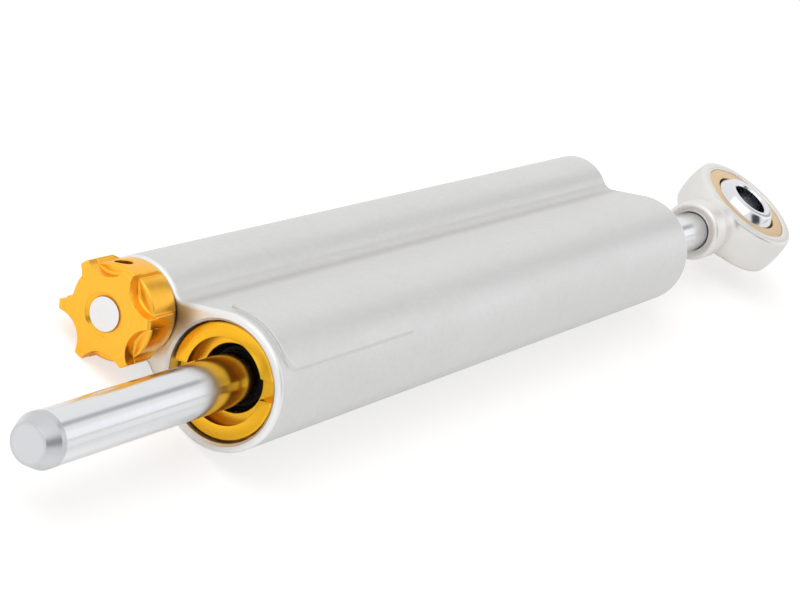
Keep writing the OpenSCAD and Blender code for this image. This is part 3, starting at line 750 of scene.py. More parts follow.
class Workshop:
    """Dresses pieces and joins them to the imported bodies."""

    def __init__(self) -> None:
        """Build the shared shader groups."""
        self.groups = SurfaceGroups()
        self.made: dict[str, bpy.types.Material] = {}

    def material(self, finish: Finish) -> bpy.types.Material:
        """Get a finish's material, built on first use."""
        if finish.name not in self.made:
            self.made[finish.name] = finish.material(self.groups)
        return self.made[finish.name]

    def place(self, obj: bpy.types.Object, finishes: Sequence[Finish], body: str,
              *nodes: str) -> bpy.types.Object:
        """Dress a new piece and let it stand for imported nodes.

        Args:
            obj: the piece.
            finishes: its finishes, by material index.
            body: the body it rides on.
            nodes: the nodes it stands for.

        Returns:
            The piece.
        """
        if obj.data.materials:  # clearing also resets the faces' material indices
            obj.data.materials.clear()
        for finish in finishes:
            obj.data.materials.append(self.material(finish))
        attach(obj, body)
        if nodes:
            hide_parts(*nodes)
        LOG.info("%s: %d faces on %s", obj.name, len(obj.data.polygons), body)
        return obj

    def dress(self, finishes: dict[str, Finish]) -> None:
        """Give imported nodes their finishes.

        Args:
            finishes: the finishes by the nodes' names.
        """
        for node, finish in finishes.items():
            obj = frame["nodes"][node]
            obj.data.materials.clear()
            obj.data.materials.append(self.material(finish))
            LOG.info("%s: packed node with %s", node, finish.name)


# ---------------------------------------------------------------- body


@dataclass
class Body:
    """The twin-tube body and its raised pad."""

    ramp_angle: float = 62.0
    waist_r: float = 2.4 * MM
    edge: float = 0.75 * MM
    mouth_wall: float = 1.4 * MM
    mouth_chamfer: float = 0.4 * MM
    mouth_depth: float = 9.95 * MM
    bore_r: float = 8.0 * MM
    cartridge_r: float = 5.25 * MM
    cartridge_depth: float = 26.0 * MM
    gallery_r: float = 3.5 * MM
    gallery_depth: float = 36.0 * MM
    passage_r: float = 1.9 * MM
    chamber_r: float = 5.0 * MM
    chamber_depth: float = 34.0 * MM
    clip_r: float = 5.6 * MM
    clip_from: float = 1.0 * MM
    clip_to: float = 2.1 * MM
    # where painted shade darkens the end faces beside the knob, in the section's u and v, with its strength
    # and reach
    web_shade_line: Point2 = (11.0 * MM, 3.6 * MM)
    web_shade_strength: float = 0.75
    web_shade_reach_mm: float = 4.5
    pad_start: float = 2.2 * MM
    pad_len: float = 38.8 * MM
    pad_from: float = 48.0
    pad_to: float = 125.0
    pad_rise: float = 0.5 * MM
    pad_corner: float = 2.4 * MM
    pad_least_r: float = 0.02 * MM
    pad_edge: float = 0.1 * MM
    pad_root: float = 0.3 * MM
    pad_sharp: float = 60.0
    pad_corner_steps: int = 8
    pad_side_steps: int = 24
    pad_edge_steps: int = 5
    pad_rings: int = 16
    edge_steps: int = 8
    main_steps: int = 132
    side_steps: int = 84
    waist_steps: int = 24
    ramp_steps: int = 16
    bore_sides: int = 128

    def __post_init__(self) -> None:
        """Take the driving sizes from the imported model."""
        box = Extent.of("housing")
        self.x0, self.x1 = box.lo.x, box.hi.x
        self.main_r = -box.lo.y
        self.side_r = box.hi.y - SIDE.y
        self.gap = math.hypot(SIDE.y, SIDE.z)
        self.tilt = math.atan2(-SIDE.z, SIDE.y)
        out = self.main_r + self.waist_r
        slope = math.radians(self.ramp_angle)
        cos, sin = math.cos(slope), math.sin(slope)
        reach = math.sqrt((self.side_r + self.waist_r)**2 - (out - self.gap * cos)**2)
        self.ramp_run = self.gap * sin - reach
        self.waist_u, self.waist_v = out * cos + self.ramp_run * sin, out * sin - self.ramp_run * cos
        self.valley = self.turned(self.waist_u - self.waist_r * cos, self.waist_v - self.waist_r * sin)
        spread = math.radians(self.pad_to - self.pad_from)
        self.pad_half_h = (self.main_r + self.pad_rise) * math.sin(spread / 2)

    def turned(self, u: float, v: float) -> Point2:
        """Turn a place in the section, u from tube to tube and v across it, into y and z."""
        cos, sin = math.cos(self.tilt), math.sin(self.tilt)
        return u * cos + v * sin, v * cos - u * sin

    def outline(self, x: float, inset: float) -> Ring:
        """Make one loop round both tubes.

        Args:
            x: place along X.
            inset: how far the loop lies inside the outer surface.

        Returns:
            The loop's points.
        """
        a = math.radians(self.ramp_angle)
        b = math.atan2(self.waist_v, self.waist_u - self.gap)
        r, half = self.main_r - inset, math.pi
        ramp = [(r * math.cos(a) + d * math.sin(a), r * math.sin(a) - d * math.cos(a))
                for d in np.linspace(self.ramp_run, 0.0, self.ramp_steps + 1)]
        hollow = self.waist_r + inset
        points = self.arc((0.0, 0.0), r, a, TURN - a, self.main_steps)
        points += [(u, -v) for u, v in ramp[:0:-1]]
        points += self.arc((self.waist_u, -self.waist_v), hollow, half - a, half - b, self.waist_steps)
        points += self.arc((self.gap, 0.0), self.side_r - inset, -b, b, self.side_steps)
        points += self.arc((self.waist_u, self.waist_v), hollow, half + b, half + a, self.waist_steps)
        points += ramp[:-1]
        return np.array([(x, *self.turned(u, v)) for u, v in points])

    @staticmethod
    def arc(centre: Point2, r: float, start: float, stop: float, steps: int) -> list[Point2]:
        """Make an arc's points, without the last one."""
        turns = np.linspace(start, stop, steps, endpoint=False)
        return [(centre[0] + r * math.cos(t), centre[1] + r * math.sin(t)) for t in turns]

    def build_shell(self) -> bpy.types.Object:
        """Make the body with rounded ends and its stepped bores.

        Returns:
            The body's object.
        """
        make = Builder("body_shell")
        front = [(self.x0 + self.edge * s, self.edge * c) for s, c in reversed(quarter(self.edge_steps))]
        rear = [(self.x0 + self.x1 - x, d) for x, d in reversed(front)]
        make.skin([self.outline(x, d) for x, d in (front[-1], rear[0])])
        for edge in (front, rear):
            make.skin([self.outline(x, d) for x, d in edge], material=1)
        mouth, lip, n = self.main_r - self.mouth_wall, self.mouth_chamfer, self.bore_sides
        ends = [(0.0, mouth + lip), (lip, mouth), (self.mouth_depth, mouth), (self.mouth_depth, self.bore_r)]
        make.lathe(self.through(ends, ends[::-1]), n, closed=False, material=1)
        valve_end = [
            (0.0, self.cartridge_r), (self.cartridge_depth, self.cartridge_r),
            (self.cartridge_depth, self.gallery_r), (self.gallery_depth, self.gallery_r),
            (self.gallery_depth, self.passage_r),
        ]
        chamber_end = [
            (self.chamber_depth, self.passage_r), (self.chamber_depth, self.chamber_r),
            (self.clip_to, self.chamber_r), (self.clip_to, self.clip_r), (self.clip_from, self.clip_r),
            (self.clip_from, self.chamber_r), (0.0, self.chamber_r),
        ]
        make.lathe(self.through(valve_end, chamber_end), n, SIDE_AXIS, closed=False)
        for x, side_hole in ((self.x0, self.cartridge_r), (self.x1, self.chamber_r)):
            make.fill([self.outline(x, self.edge), circle_ring(x, mouth + lip, n),
                       circle_ring(x, side_hole, n, SIDE_AXIS)], material=1)
        return make.finish()

    def through(self, front: Sequence[Point2], rear: Sequence[Point2]) -> list[Point2]:
        """Join the steps of a bore, given as depths from its two ends and radii, into one profile."""
        return [(self.x0 + d, r) for d, r in front] + [(self.x1 - d, r) for d, r in rear]

    def pad_loop(self, grow: float, lift: float) -> Ring:
        """Make one loop of the pad's rounded outline, wrapped on the tube.

        Args:
            grow: how far the loop lies outside the pad's outline, or inside if negative.
            lift: height above the tube.

        Returns:
            The loop's points.
        """
        mid = math.radians((self.pad_from + self.pad_to) / 2)
        half_w, n = self.pad_len / 2, self.pad_corner_steps
        r = max(self.pad_corner + grow, self.pad_least_r)
        w, h = max(half_w + grow - r, 0.0), max(self.pad_half_h + grow - r, 0.0)
        flat = []
        for corner, (sx, sy) in enumerate(((1, 1), (-1, 1), (-1, -1), (1, -1))):
            for k in range(n + 1):
                t = math.radians(90.0 * corner + 90.0 * k / n)
                flat.append((sx * w + r * math.cos(t), sy * h + r * math.sin(t)))
        dense = []
        for i, (a, b) in enumerate(flat):
            c, d = flat[(i + 1) % len(flat)]
            steps = self.pad_side_steps if (i + 1) % (n + 1) == 0 else 1
            dense += [(a + (c - a) * k / steps, b + (d - b) * k / steps) for k in range(steps)]
        centre, rho = self.x0 + self.pad_start + half_w, self.main_r + lift
        turns = [(a, mid + math.asin(b / rho)) for a, b in dense]
        return np.array([(centre + a, rho * math.cos(t), rho * math.sin(t)) for a, t in turns])

    def build_pad(self) -> bpy.types.Object:
        """Make the bare raised pad with soft edges.

        Returns:
            The pad's object.
        """
        make = Builder("body_pad")
        e, rise, root, n = self.pad_edge, self.pad_rise, self.pad_root, self.pad_rings
        rounded = quarter(self.pad_edge_steps)
        rings = [self.pad_loop(e, -root)]
        rings += [self.pad_loop(e * s, e * c) for s, c in rounded]
        rings += [self.pad_loop(-e * c, rise - e * s) for s, c in rounded]
        shrink = [-e - (self.pad_half_h - e) * k / n for k in range(1, n)]
        rings += [self.pad_loop(g, rise) for g in shrink]
        under = [self.pad_loop(g, -root) for g in (e, *shrink[2::3])]
        for side in (rings, under):
            make.skin(side)
            make.fill(side[-1:])
        return make.finish(sharp=self.pad_sharp)

    def build(self, shop: Workshop) -> None:
        """Make and dress the body.

        Args:
            shop: dresses and places the pieces.
        """
        # painted shade along the valley between the tubes, and on the end faces beside the knob
        grey = replace(BODY_GREY, valley=self.valley)
        face = replace(CUT_FACE, valley=self.turned(*self.web_shade_line), shade_weight=self.web_shade_strength,
                       reach_mm=self.web_shade_reach_mm)
        shop.place(self.build_shell(), [grey, face], "housing", "housing")
        shop.place(self.build_pad(), [grey], "housing")


# ---------------------------------------------------------------- glands


@dataclass
class Gland:
    """A threaded gland with two spanner slots, at one end of the body."""

    end: End
    length: float = 26.0 * MM
    face_r: float = 8.9 * MM
    thread_r: float = 9.15 * MM
    spigot_r: float = 7.95 * MM
    dish_r: float = 6.6 * MM
    dish: float = 2.7 * MM
    lip_r: float = 5.2 * MM
    lip: float = 1.5 * MM
    seal_r: float = 6.2 * MM
    seal: float = 3.0 * MM
    web_r: float = 4.4 * MM
    web: float = 1.2 * MM
    land: float = 3.0 * MM
    seat: float = 9.0 * MM
    edge: float = 0.35 * MM
    dish_edge: float = 0.2 * MM
    slot_w: float = 3.1 * MM
    slot_depth: float = 2.2 * MM
    slot_angle: float = 143.0
    slot_edge: float = 0.15 * MM
    slot_ease: float = 0.3
    slot_limit: float = 0.99
    land_steps: int = 40
    slot_steps: int = 8
    edge_steps: int = 4
    run_gap: float = 0.03 * MM
    wiper_lip: float = 0.5 * MM
    wiper_root: float = 0.9 * MM
    wiper_edge: float = 0.4 * MM
    wiper_soft: float = 0.12 * MM
    wiper_cove: float = 0.25 * MM
    sides: int = 96

    def slotted_ring(self, x: float, r: float) -> Ring:
        """Make one ring of the face, which drops into the two slots.

        Args:
            x: depth of the ring below the gland's face.
            r: the ring's radius.

        Returns:
            The ring's points, with x as depth.
        """
        half = math.asin(min(self.slot_limit, self.slot_w / 2 / r))
        soft, ease = self.slot_edge / r, self.slot_ease
        floor = max(x, self.slot_depth)
        drop = min(self.slot_edge, floor - x)
        side = [(-half - soft, x), (-half - soft * ease, x + drop * ease), (-half, x + drop), (-half, floor)]
        cross = [(-half + 2 * half * i / self.slot_steps, floor) for i in range(1, self.slot_steps)]
        back = [(-a, d) for a, d in reversed(side)]
        span = math.pi - 2 * (half + soft)
        after = [(half + soft + span * i / self.land_steps, x) for i in range(1, self.land_steps)]
        points = []
        for k in range(2):
            middle = math.radians(self.slot_angle) + math.pi * k
            points += [(depth, r * math.cos(middle + a), r * math.sin(middle + a))
                       for a, depth in side + cross + back + after]
        return np.array(points)

    def build_cap(self) -> bpy.types.Object:
        """Make the gland.

        Returns:
            The gland's object.
        """
        make = Builder(f"{self.end.value}_gland_cap")
        e, s = self.edge, self.slot_edge
        ease = s * self.slot_ease
        outer = [(x, self.face_r) for x in (self.land, self.slot_depth, e)]
        outer += [(e * a, self.face_r - e * b) for a, b in quarter(self.edge_steps)]
        inner = [(0.0, self.dish_r + s), (ease, self.dish_r + ease), (s, self.dish_r),
                 (self.slot_depth, self.dish_r), (self.dish, self.dish_r)]
        make.skin([self.slotted_ring(x, r) for x, r in outer + inner[:3]])
        # the dish's wall takes the second finish, the darker gold that is painted shade
        make.skin([self.slotted_ring(x, r) for x, r in inner[2:]], material=1)
        wiper_at = self.dish + self.lip
        seal_at = wiper_at + self.seal + self.web
        bush_at = seal_at + self.seal + self.web
        steps = [(self.dish, self.dish_r), (self.dish, self.lip_r), (wiper_at, self.lip_r)]
        for start in (wiper_at, seal_at):
            stop = start + self.seal
            steps += [(start, self.seal_r), (stop, self.seal_r), (stop, self.web_r),
                      (stop + self.web, self.web_r)]
        steps += [(bush_at, self.lip_r), (self.length, self.lip_r), (self.length, self.spigot_r),
                  (self.seat, self.spigot_r), (self.seat, self.thread_r), (self.land, self.thread_r),
                  (self.land, self.face_r)]
        hollow = fillet([(x, r, self.dish_edge if i == 1 else 0.0) for i, (x, r) in enumerate(steps)])
        ring = self.slotted_ring(self.dish, self.dish_r)
        turns = np.arctan2(ring[:, 2], ring[:, 1])
        make.skin([np.stack([np.full(len(turns), x), r * np.cos(turns), r * np.sin(turns)], 1)
                   for x, r in hollow])
        return make.finish(place=self.inward("gland"))

    def inward(self, piece: str) -> Matrix:
        """Place a shape that starts at a piece's outer face and runs into the body.

        Args:
            piece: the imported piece's name without its end.

        Returns:
            The transform.
        """
        box = Extent.of(f"{self.end.value}_{piece}")
        if self.end is End.FRONT:
            return Matrix.Translation((box.lo.x, 0.0, 0.0))
        return Matrix.Translation((box.hi.x, 0.0, 0.0)) @ MIRROR_X

    def build_wiper(self) -> bpy.types.Object:
        """Make the scraper, whose lip leans outwards along the rod.

        Returns:
            The scraper's object.
        """
        box = Extent.of(f"{self.end.value}_wiper")
        make = Builder(f"{self.end.value}_wiper_ring")
        inner, outer, depth = Extent.of("piston_rod").radius + self.run_gap, box.radius, box.length
        root, soft = self.wiper_root, self.wiper_soft
        make.lathe(fillet([
            (0.0, inner, 0.0), (0.0, inner + self.wiper_lip, soft), (root, inner + root, self.wiper_cove),
            (root, outer, soft), (depth, outer, soft), (depth, self.web_r, 0.0), (2 * root, self.web_r, soft),
            (self.wiper_edge, inner, 0.0),
        ]), self.sides)
        return make.finish(place=self.inward("wiper"))

    def build(self, shop: Workshop) -> None:
        """Make and dress the gland and what is in it.

        Args:
            shop: dresses and places the pieces.
        """
        name = self.end.value
        # the second finish is the darker gold, painted shade in the dish
        shop.place(self.build_cap(), [GOLD, SHADED_GOLD], "housing", f"{name}_gland")
        shop.place(self.build_wiper(), [RUBBER], "housing", f"{name}_wiper")
        shop.dress({f"{name}_gland_o_ring": RUBBER, f"{name}_rod_seal": RUBBER, f"{name}_rod_bush": BUSH})


# ---------------------------------------------------------------- rod and piston


@dataclass
class Rod:
    """The through rod and its piston."""

    tip_r: float = 2.95 * MM
    taper: float = 2.2 * MM
    tip_edge: float = 0.18 * MM
    shoulder: float = 0.5 * MM
    rear_edge: float = 0.3 * MM
    face_steps: int = 8
    sides: int = 128

    def build_rod(self) -> bpy.types.Object:
        """Make the rod with its turned tip.

        Returns:
            The rod's object.
        """
        box = Extent.of("piston_rod")
        make = Builder("damper_rod")
        x0, x1, r, n = box.lo.x, box.hi.x, box.radius, self.face_steps
        face_r, taper = self.tip_r - 2 * self.tip_edge, x0 + self.taper
        plain = taper + 2 * self.shoulder
        tip = fillet([(x0, face_r, 0.0), (x0, self.tip_r, self.tip_edge), (taper, r, self.shoulder),
                      (plain, r, 0.0)])
        shaft = fillet([(plain, r, 0.0), (x1, r, self.rear_edge), (x1, 0.0, 0.0)])
        face = [(x0, face_r * k / n) for k in range(n + 1)]
        for material, profile in ((2, face), (1, tip), (0, shaft)):
            make.lathe(profile, self.sides, closed=False, material=material)
        return make.finish()

    def build(self, shop: Workshop) -> None:
        """Make and dress the rod and the piston's pieces."""
        shop.place(self.build_rod(), [CHROME, TIP_TAPER, TIP_FACE], "rod", "piston_rod")
        shop.dress({"piston": TURNED_ALU, "piston_band": PTFE, "piston_o_ring": RUBBER,
                    "piston_clips": DARK_STEEL})


# ---------------------------------------------------------------- rod end


@dataclass
class RodEnd:
    """The spherical rod end: a forged head blended into its shank, a race and a ball."""

    face_r: float = 12.25 * MM
    face_edge: float = 1.0 * MM
    collar_r: float = 6.2 * MM
    collar_len: float = 4.8 * MM
    neck_r: float = 4.6 * MM
    rim: float = 1.3 * MM
    blend: float = 4.0 * MM
    hole_edge: float = 0.3 * MM
    hole_len: float = 13.3 * MM
    mouth_edge: float = 0.6 * MM
    mesh_step: float = 0.26 * MM
    liner_gap: float = 0.36 * MM
    bore_r: float = 4.0 * MM
    bore_chamfer: float = 0.4 * MM
    bore_edge: float = 0.12 * MM
    recess: float = 0.3 * MM
    shank_share: float = 0.75
    race_lip: float = 0.12 * MM
    race_fit: float = 0.02 * MM
    race_edge: float = 0.25 * MM
    ball_lip: float = 0.15 * MM
    flat_lip: float = 0.25 * MM
    race_points: int = 25
    ball_points: int = 49
    bore_steps: int = 4
    sharp: float = 70.0
    sides: int = 128

    def __post_init__(self) -> None:
        """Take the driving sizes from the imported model."""
        head, race, ball = (Extent.of(f"rod_end_{piece}") for piece in ("housing", "race", "ball"))
        self.eye = joint_place("ball_tilt")
        self.head_r, self.half_w = head.hi.y, race.hi.z + self.recess
        self.collar_x = head.lo.x - self.eye.x
        self.race_r, self.race_half = race.hi.y, race.hi.z
        self.ball_r, self.ball_half = ball.hi.y, ball.hi.z
        self.rod_r = Extent.of("piston_rod").radius
        self.upright = Matrix.Translation(self.eye) @ Matrix.Rotation(-math.pi / 2, 4, "Y")

    def distance(self, p: np.ndarray) -> np.ndarray:
        """Measure how far points lie outside the head and shank.

        Args:
            p: points relative to the eye, one row each.

        Returns:
            Distances, negative inside.
        """
        x, y, z = p.T
        across, around = np.hypot(x, y), np.hypot(y, z)
        sag = self.head_r - self.face_r
        crown_r = (self.half_w**2 + sag**2) / (2 * sag)
        crown = np.hypot(across + crown_r - self.head_r, z) - crown_r
        slab = np.abs(z) - self.half_w
        head = soft_max(crown, slab, self.face_edge)
        neck_at, neck_end = self.collar_x + self.collar_len, -self.face_r
        share = np.clip((x - neck_at) / (neck_end - neck_at), 0.0, 1.0)
        shank = around - (self.collar_r + (self.neck_r - self.collar_r) * share)
        shank = np.maximum(soft_max(shank, self.collar_x - x, self.rim), x - neck_end * self.shank_share)
        both = -soft_max(-head, -shank, self.blend)
        both = soft_max(both, slab - np.maximum(neck_end - x, 0.0), self.hole_edge)
        both = soft_max(both, self.race_r - across, self.hole_edge)
        hole = np.maximum(around - self.rod_r, x - self.collar_x - self.hole_len)
        return soft_max(both, -hole, self.mouth_edge)

    def build_head(self) -> bpy.types.Object:
        """Make the head with its shank.

        Returns:
            The head's object.
        """
        room = 2 * self.mesh_step
        low = (self.collar_x - room, -self.head_r - room, -self.collar_r - room)
        high = (self.head_r + room, self.head_r + room, self.collar_r + room)
        points, faces = surface_net(self.distance, low, high, self.mesh_step)
        make = Builder("rod_end_head")
        verts = [make.bm.verts.new(p) for p in points]
        for face in faces:
            make.bm.faces.new([verts[i] for i in face])
        return make.finish(sharp=self.sharp, place=Matrix.Translation(self.eye))

    def build_race(self) -> bpy.types.Object:
        """Make the race's ring.

        Returns:
            The race's object.
        """
        make = Builder("rod_end_race_ring")
        h, seat = self.race_half, self.ball_r + self.liner_gap
        swing = math.asin((h - self.race_lip) / seat)
        inner = self.meridian(seat, np.linspace(swing, -swing, self.race_points))
        lip, rim = math.sqrt(seat**2 - h**2) + self.race_lip, self.race_r - self.race_fit
        outer = fillet([(-h, lip, 0.0), (-h, rim, self.race_edge), (h, rim, self.race_edge), (h, lip, 0.0)])
        make.lathe(inner + outer, self.sides)
        return make.finish(place=self.upright)

    @staticmethod
    def meridian(r: float, angles: np.ndarray) -> list[Point2]:
        """Give the profile points of a ball at angles from its middle."""
        return [(r * math.sin(a), r * math.cos(a)) for a in angles]

    def build_ball(self) -> bpy.types.Object:
        """Make the ball with its flats and bore.

        Returns:
            The ball's object.
        """
        make = Builder("rod_end_bearing_ball")
        h, c, b, soft = self.ball_half, self.bore_chamfer, self.bore_r, self.bore_edge
        flat = math.sqrt(self.ball_r**2 - self.ball_half**2) - self.flat_lip
        swing = math.asin((h - self.ball_lip) / self.ball_r)
        outer = self.meridian(self.ball_r, np.linspace(-swing, swing, self.ball_points))
        inner = fillet([(h, flat, 0.0), (h, b + c, soft), (h - c, b, soft), (-h + c, b, soft),
                        (-h, b + c, soft), (-h, flat, 0.0)], self.bore_steps)
        make.lathe(outer + inner, self.sides)
        return make.finish(place=self.upright)

    def build(self, shop: Workshop) -> None:
        """Make and dress the rod end.

        Args:
            shop: dresses and places the pieces.
        """
        shop.place(self.build_head(), [ROD_END], "rod", "rod_end_housing")
        shop.place(self.build_race(), [RACE], "rod", "rod_end_race")
        shop.place(self.build_ball(), [BALL_CHROME], "ball", "rod_end_ball")
        shop.dress({"rod_end_liner": PTFE})


# ---------------------------------------------------------------- adjuster


@dataclass
class Knob:
    """The ribbed adjuster knob: six equal sectors, each with a scoop between two half ribs."""

    ribs: int = 6
    rib_angle: float = 24.2
    rib_w: float = 1.8 * MM
    tip_w: float = 1.5 * MM
    floor_r: float = 7.4 * MM
    back_edge: float = 1.7 * MM
    scoop_in: float = 5.6 * MM
    scoop_depth: float = 2.0 * MM
    crown: float = 0.15 * MM
    crest_r: float = 3.6 * MM
    tip_chamfer: float = 0.45 * MM
    tip_fall: float = 0.2 * MM
    sink_r: float = 3.25 * MM
    sink: float = 0.5 * MM
    bore_r: float = 2.62 * MM
    foot: float = 0.25 * MM
    soft: float = 0.14 * MM
    cove: float = 0.5 * MM
    brow: float = 0.45 * MM
    grub_r: float = 1.42 * MM
    grub_share: float = 0.46
    grub_start: float = 0.8
    grub_sink: float = 0.25 * MM
    grub_rise: float = 0.6 * MM
    grub_flare: float = 0.85 * MM
    grub_clear: float = 2.0 * MM
    grub_sides: int = 48
    back_step: float = 0.6 * MM
    back_ease: float = 0.5
    rib_ease: float = 0.01 * MM
    edge_ease: float = 0.05 * MM
    brow_share: float = 0.4
    cove_share: float = 0.5
    sink_ease: float = 0.7
    front_radii: tuple[float, ...] = (6.6 * MM, 5.9 * MM, 4.7 * MM, 4.0 * MM)
    edge_steps: int = 6
    floor_steps: int = 6
    wall_steps: int = 16
    corner_steps: int = 5
    rib_soft: float = 1.3
    rib_shares: tuple[float, ...] = (0.5, 0.75, 1.0)
    angle_digits: int = 5
    sharp: float = 20.0

    def __post_init__(self) -> None:
        """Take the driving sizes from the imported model."""
        box = Extent.of("adjuster_knob")
        self.back_x, self.front_x = box.hi.x, box.lo.x
        self.rib_r = box.radius
        self.height = self.back_x - self.front_x
        self.rib_front = self.height - self.crown
        self.ledge = self.rib_front - self.scoop_depth

    def low_outline(self) -> np.ndarray:
        """Make half a sector's outline below the scoop: the floor, a rib's flank and half its top.

        Returns:
            Points in the plane across the axis, from the gap's middle to the rib's.
        """
        half = math.pi / self.ribs
        base, top = (half - math.asin(self.rib_w / 2 / r) for r in (self.floor_r, self.rib_r))
        parts = self.floor_steps + 1
        polar = [(self.floor_r, base * k / parts, 0.0) for k in range(self.floor_steps)]
        polar += [(self.floor_r, base, self.foot), (self.rib_r, top, self.soft * self.rib_soft)]
        polar += [(self.rib_r, top + (half - top) * k, 0.0) for k in self.rib_shares]
        return np.array(fillet([(r * math.cos(a), r * math.sin(a), soft) for r, a, soft in polar]))

    def high_outline(self) -> np.ndarray:
        """Make half a sector's outline in the scoop: its curved wall and half a rib's tip.

        Returns:
            Points in the plane across the axis, from the gap's middle to the rib's.
        """
        half = math.pi / self.ribs
        tip = half - math.asin(self.tip_w / 2 / self.rib_r)
        u, v = self.rib_r * math.cos(tip), self.rib_r * math.sin(tip)
        at = (self.rib_r**2 - self.scoop_in**2) / (2 * (u - self.scoop_in))
        r = at - self.scoop_in
        end = math.atan2(v, at - u)
        turns = [end * k / self.wall_steps for k in range(self.wall_steps)]
        arc = [(at - r * math.cos(t), r * math.sin(t), 0.0) for t in turns]
        arc.append((u, v, self.soft))
        arc += [(self.rib_r * math.cos(a), self.rib_r * math.sin(a), 0.0)
                for a in (tip + (half - tip) * k for k in self.rib_shares)]
        return np.array(fillet(arc, self.corner_steps))

    def front_height(self, r: np.ndarray) -> np.ndarray:
        """Give the height of the domed front, with the chamfer on the rib tips.

        Args:
            r: distances from the knob's axis.

        Returns:
            Heights above the knob's back.
        """
        out = np.clip((r - self.crest_r) / (self.rib_r - self.crest_r), 0.0, 1.0)
        edge = np.clip((r - self.rib_r + self.tip_chamfer) / self.tip_chamfer, 0.0, 1.0)
        return self.height - self.crown * out**2 - self.tip_fall * edge

    def sector_rings(self) -> list[Ring]:
        """Make the rings of one sector, from the back of the bore round to its front.

        Returns:
            The rings, open at both ends, with X as height above the knob's back.
        """
        outlines = self.low_outline(), self.high_outline()
        angles = [np.arctan2(p[:, 1], p[:, 0]) for p in outlines]
        bend = np.unique(np.round(np.concatenate(angles), self.angle_digits))
        bend = np.concatenate([-bend[:0:-1], bend])
        spokes = np.stack([np.cos(bend), np.sin(bend)], 1)
        outer, inner = (np.interp(np.abs(bend), a, np.hypot(p[:, 0], p[:, 1]))
                        for a, p in zip(angles, outlines))
        inner = np.minimum(inner, outer)
        width, soft, rounded = outer - inner, self.soft, quarter(self.edge_steps)
        rows: list[tuple[object, object]] = [(self.bore_r, 0.0), (self.floor_r - soft - self.back_step, 0.0)]
        rows += [(np.minimum(outer, self.floor_r - soft * s), soft * c * self.back_ease) for s, c in rounded]
        rows.append((np.minimum(outer, self.rib_r - self.rib_ease), self.back_edge))
        rows.append((outer, self.back_edge + self.edge_ease))
        brow = np.minimum(self.brow, width * self.brow_share)
        cove = np.minimum(self.cove, width * self.cove_share)
        rows += [(outer - brow * c, self.ledge - brow * s) for s, c in rounded]
        rows += [(inner + cove * s, self.ledge + cove * c) for s, c in rounded]
        wall = inner[:, None] * spokes
        along = np.gradient(wall, axis=0)
        normal = np.stack([along[:, 1], -along[:, 0]], 1) / np.linalg.norm(along, axis=1)[:, None]
        for s, c in rounded:
            edge = np.linalg.norm(wall - normal * (soft * c), axis=1)
            rows.append((edge, self.front_height(edge) - soft * s))
        limits = (self.rib_r - self.tip_chamfer, self.scoop_in - soft, self.sink_r + soft, *self.front_radii)
        for limit in sorted(limits, reverse=True):
            edge = np.minimum(edge, limit)
            rows.append((edge, self.front_height(edge)))
        rows += [(self.sink_r + soft * s, self.height - soft * c * self.sink_ease) for s, c in rounded[1:]]
        rows += [(self.bore_r, self.height - self.sink), (self.bore_r, 0.0)]
        return [self.spoked(spokes, r, height) for r, height in rows]

    @staticmethod
    def spoked(spokes: np.ndarray, r: object, height: object) -> Ring:
        """Lay a ring of given radii and heights along the spokes."""
        radii, heights = (np.broadcast_to(value, len(spokes)) for value in (r, height))
        return np.column_stack([heights, radii[:, None] * spokes])

    def build_knob(self, shop: Workshop) -> bpy.types.Object:
        """Make the knob with the hole of its grub screw.

        Args:
            shop: gives the finish's material.

        Returns:
            The knob's object.
        """
        make = Builder("adjuster_knob_grip")
        make.skin(self.sector_rings(), wrap=False)
        turn = Matrix.Rotation(math.radians(self.rib_angle) + math.pi / self.ribs, 4, "X")
        sector = make.finish(place=Matrix.Translation((self.back_x, 0.0, 0.0)) @ turn @ MIRROR_X)
        sector.data.materials.append(shop.material(KNOB_GOLD))
        knob = repeat_round(sector, self.ribs, KNOB_CENTRE)
        drill = Builder("grub_drill")
        r, out, start = self.grub_r, self.floor_r, self.bore_r * self.grub_start
        wide, clear = r + self.grub_flare, out + self.grub_clear
        drill.lathe([(start, 0.0), (start, r), (out - self.grub_sink, r), (out + self.grub_rise, wide),
                     (clear, wide), (clear, 0.0)], self.grub_sides, closed=False)
        spot = Matrix.Translation((self.back_x - self.height * self.grub_share, *SIDE_AXIS))
        aim = spot @ turn @ Matrix.Rotation(math.pi / 2, 4, "Z")
        return cut_away(knob, drill.finish(place=aim), self.sharp)

    def build(self, shop: Workshop) -> None:
        """Make and dress the knob."""
        shop.place(self.build_knob(shop), [KNOB_GOLD], "knob", "adjuster_knob")
        shop.dress({"knob_grub_screw": DARK_STEEL})


class Side(Enum):
    """Which end of a spring stays put; the value picks the end of its box along X."""

    LOW = 0
    HIGH = 1


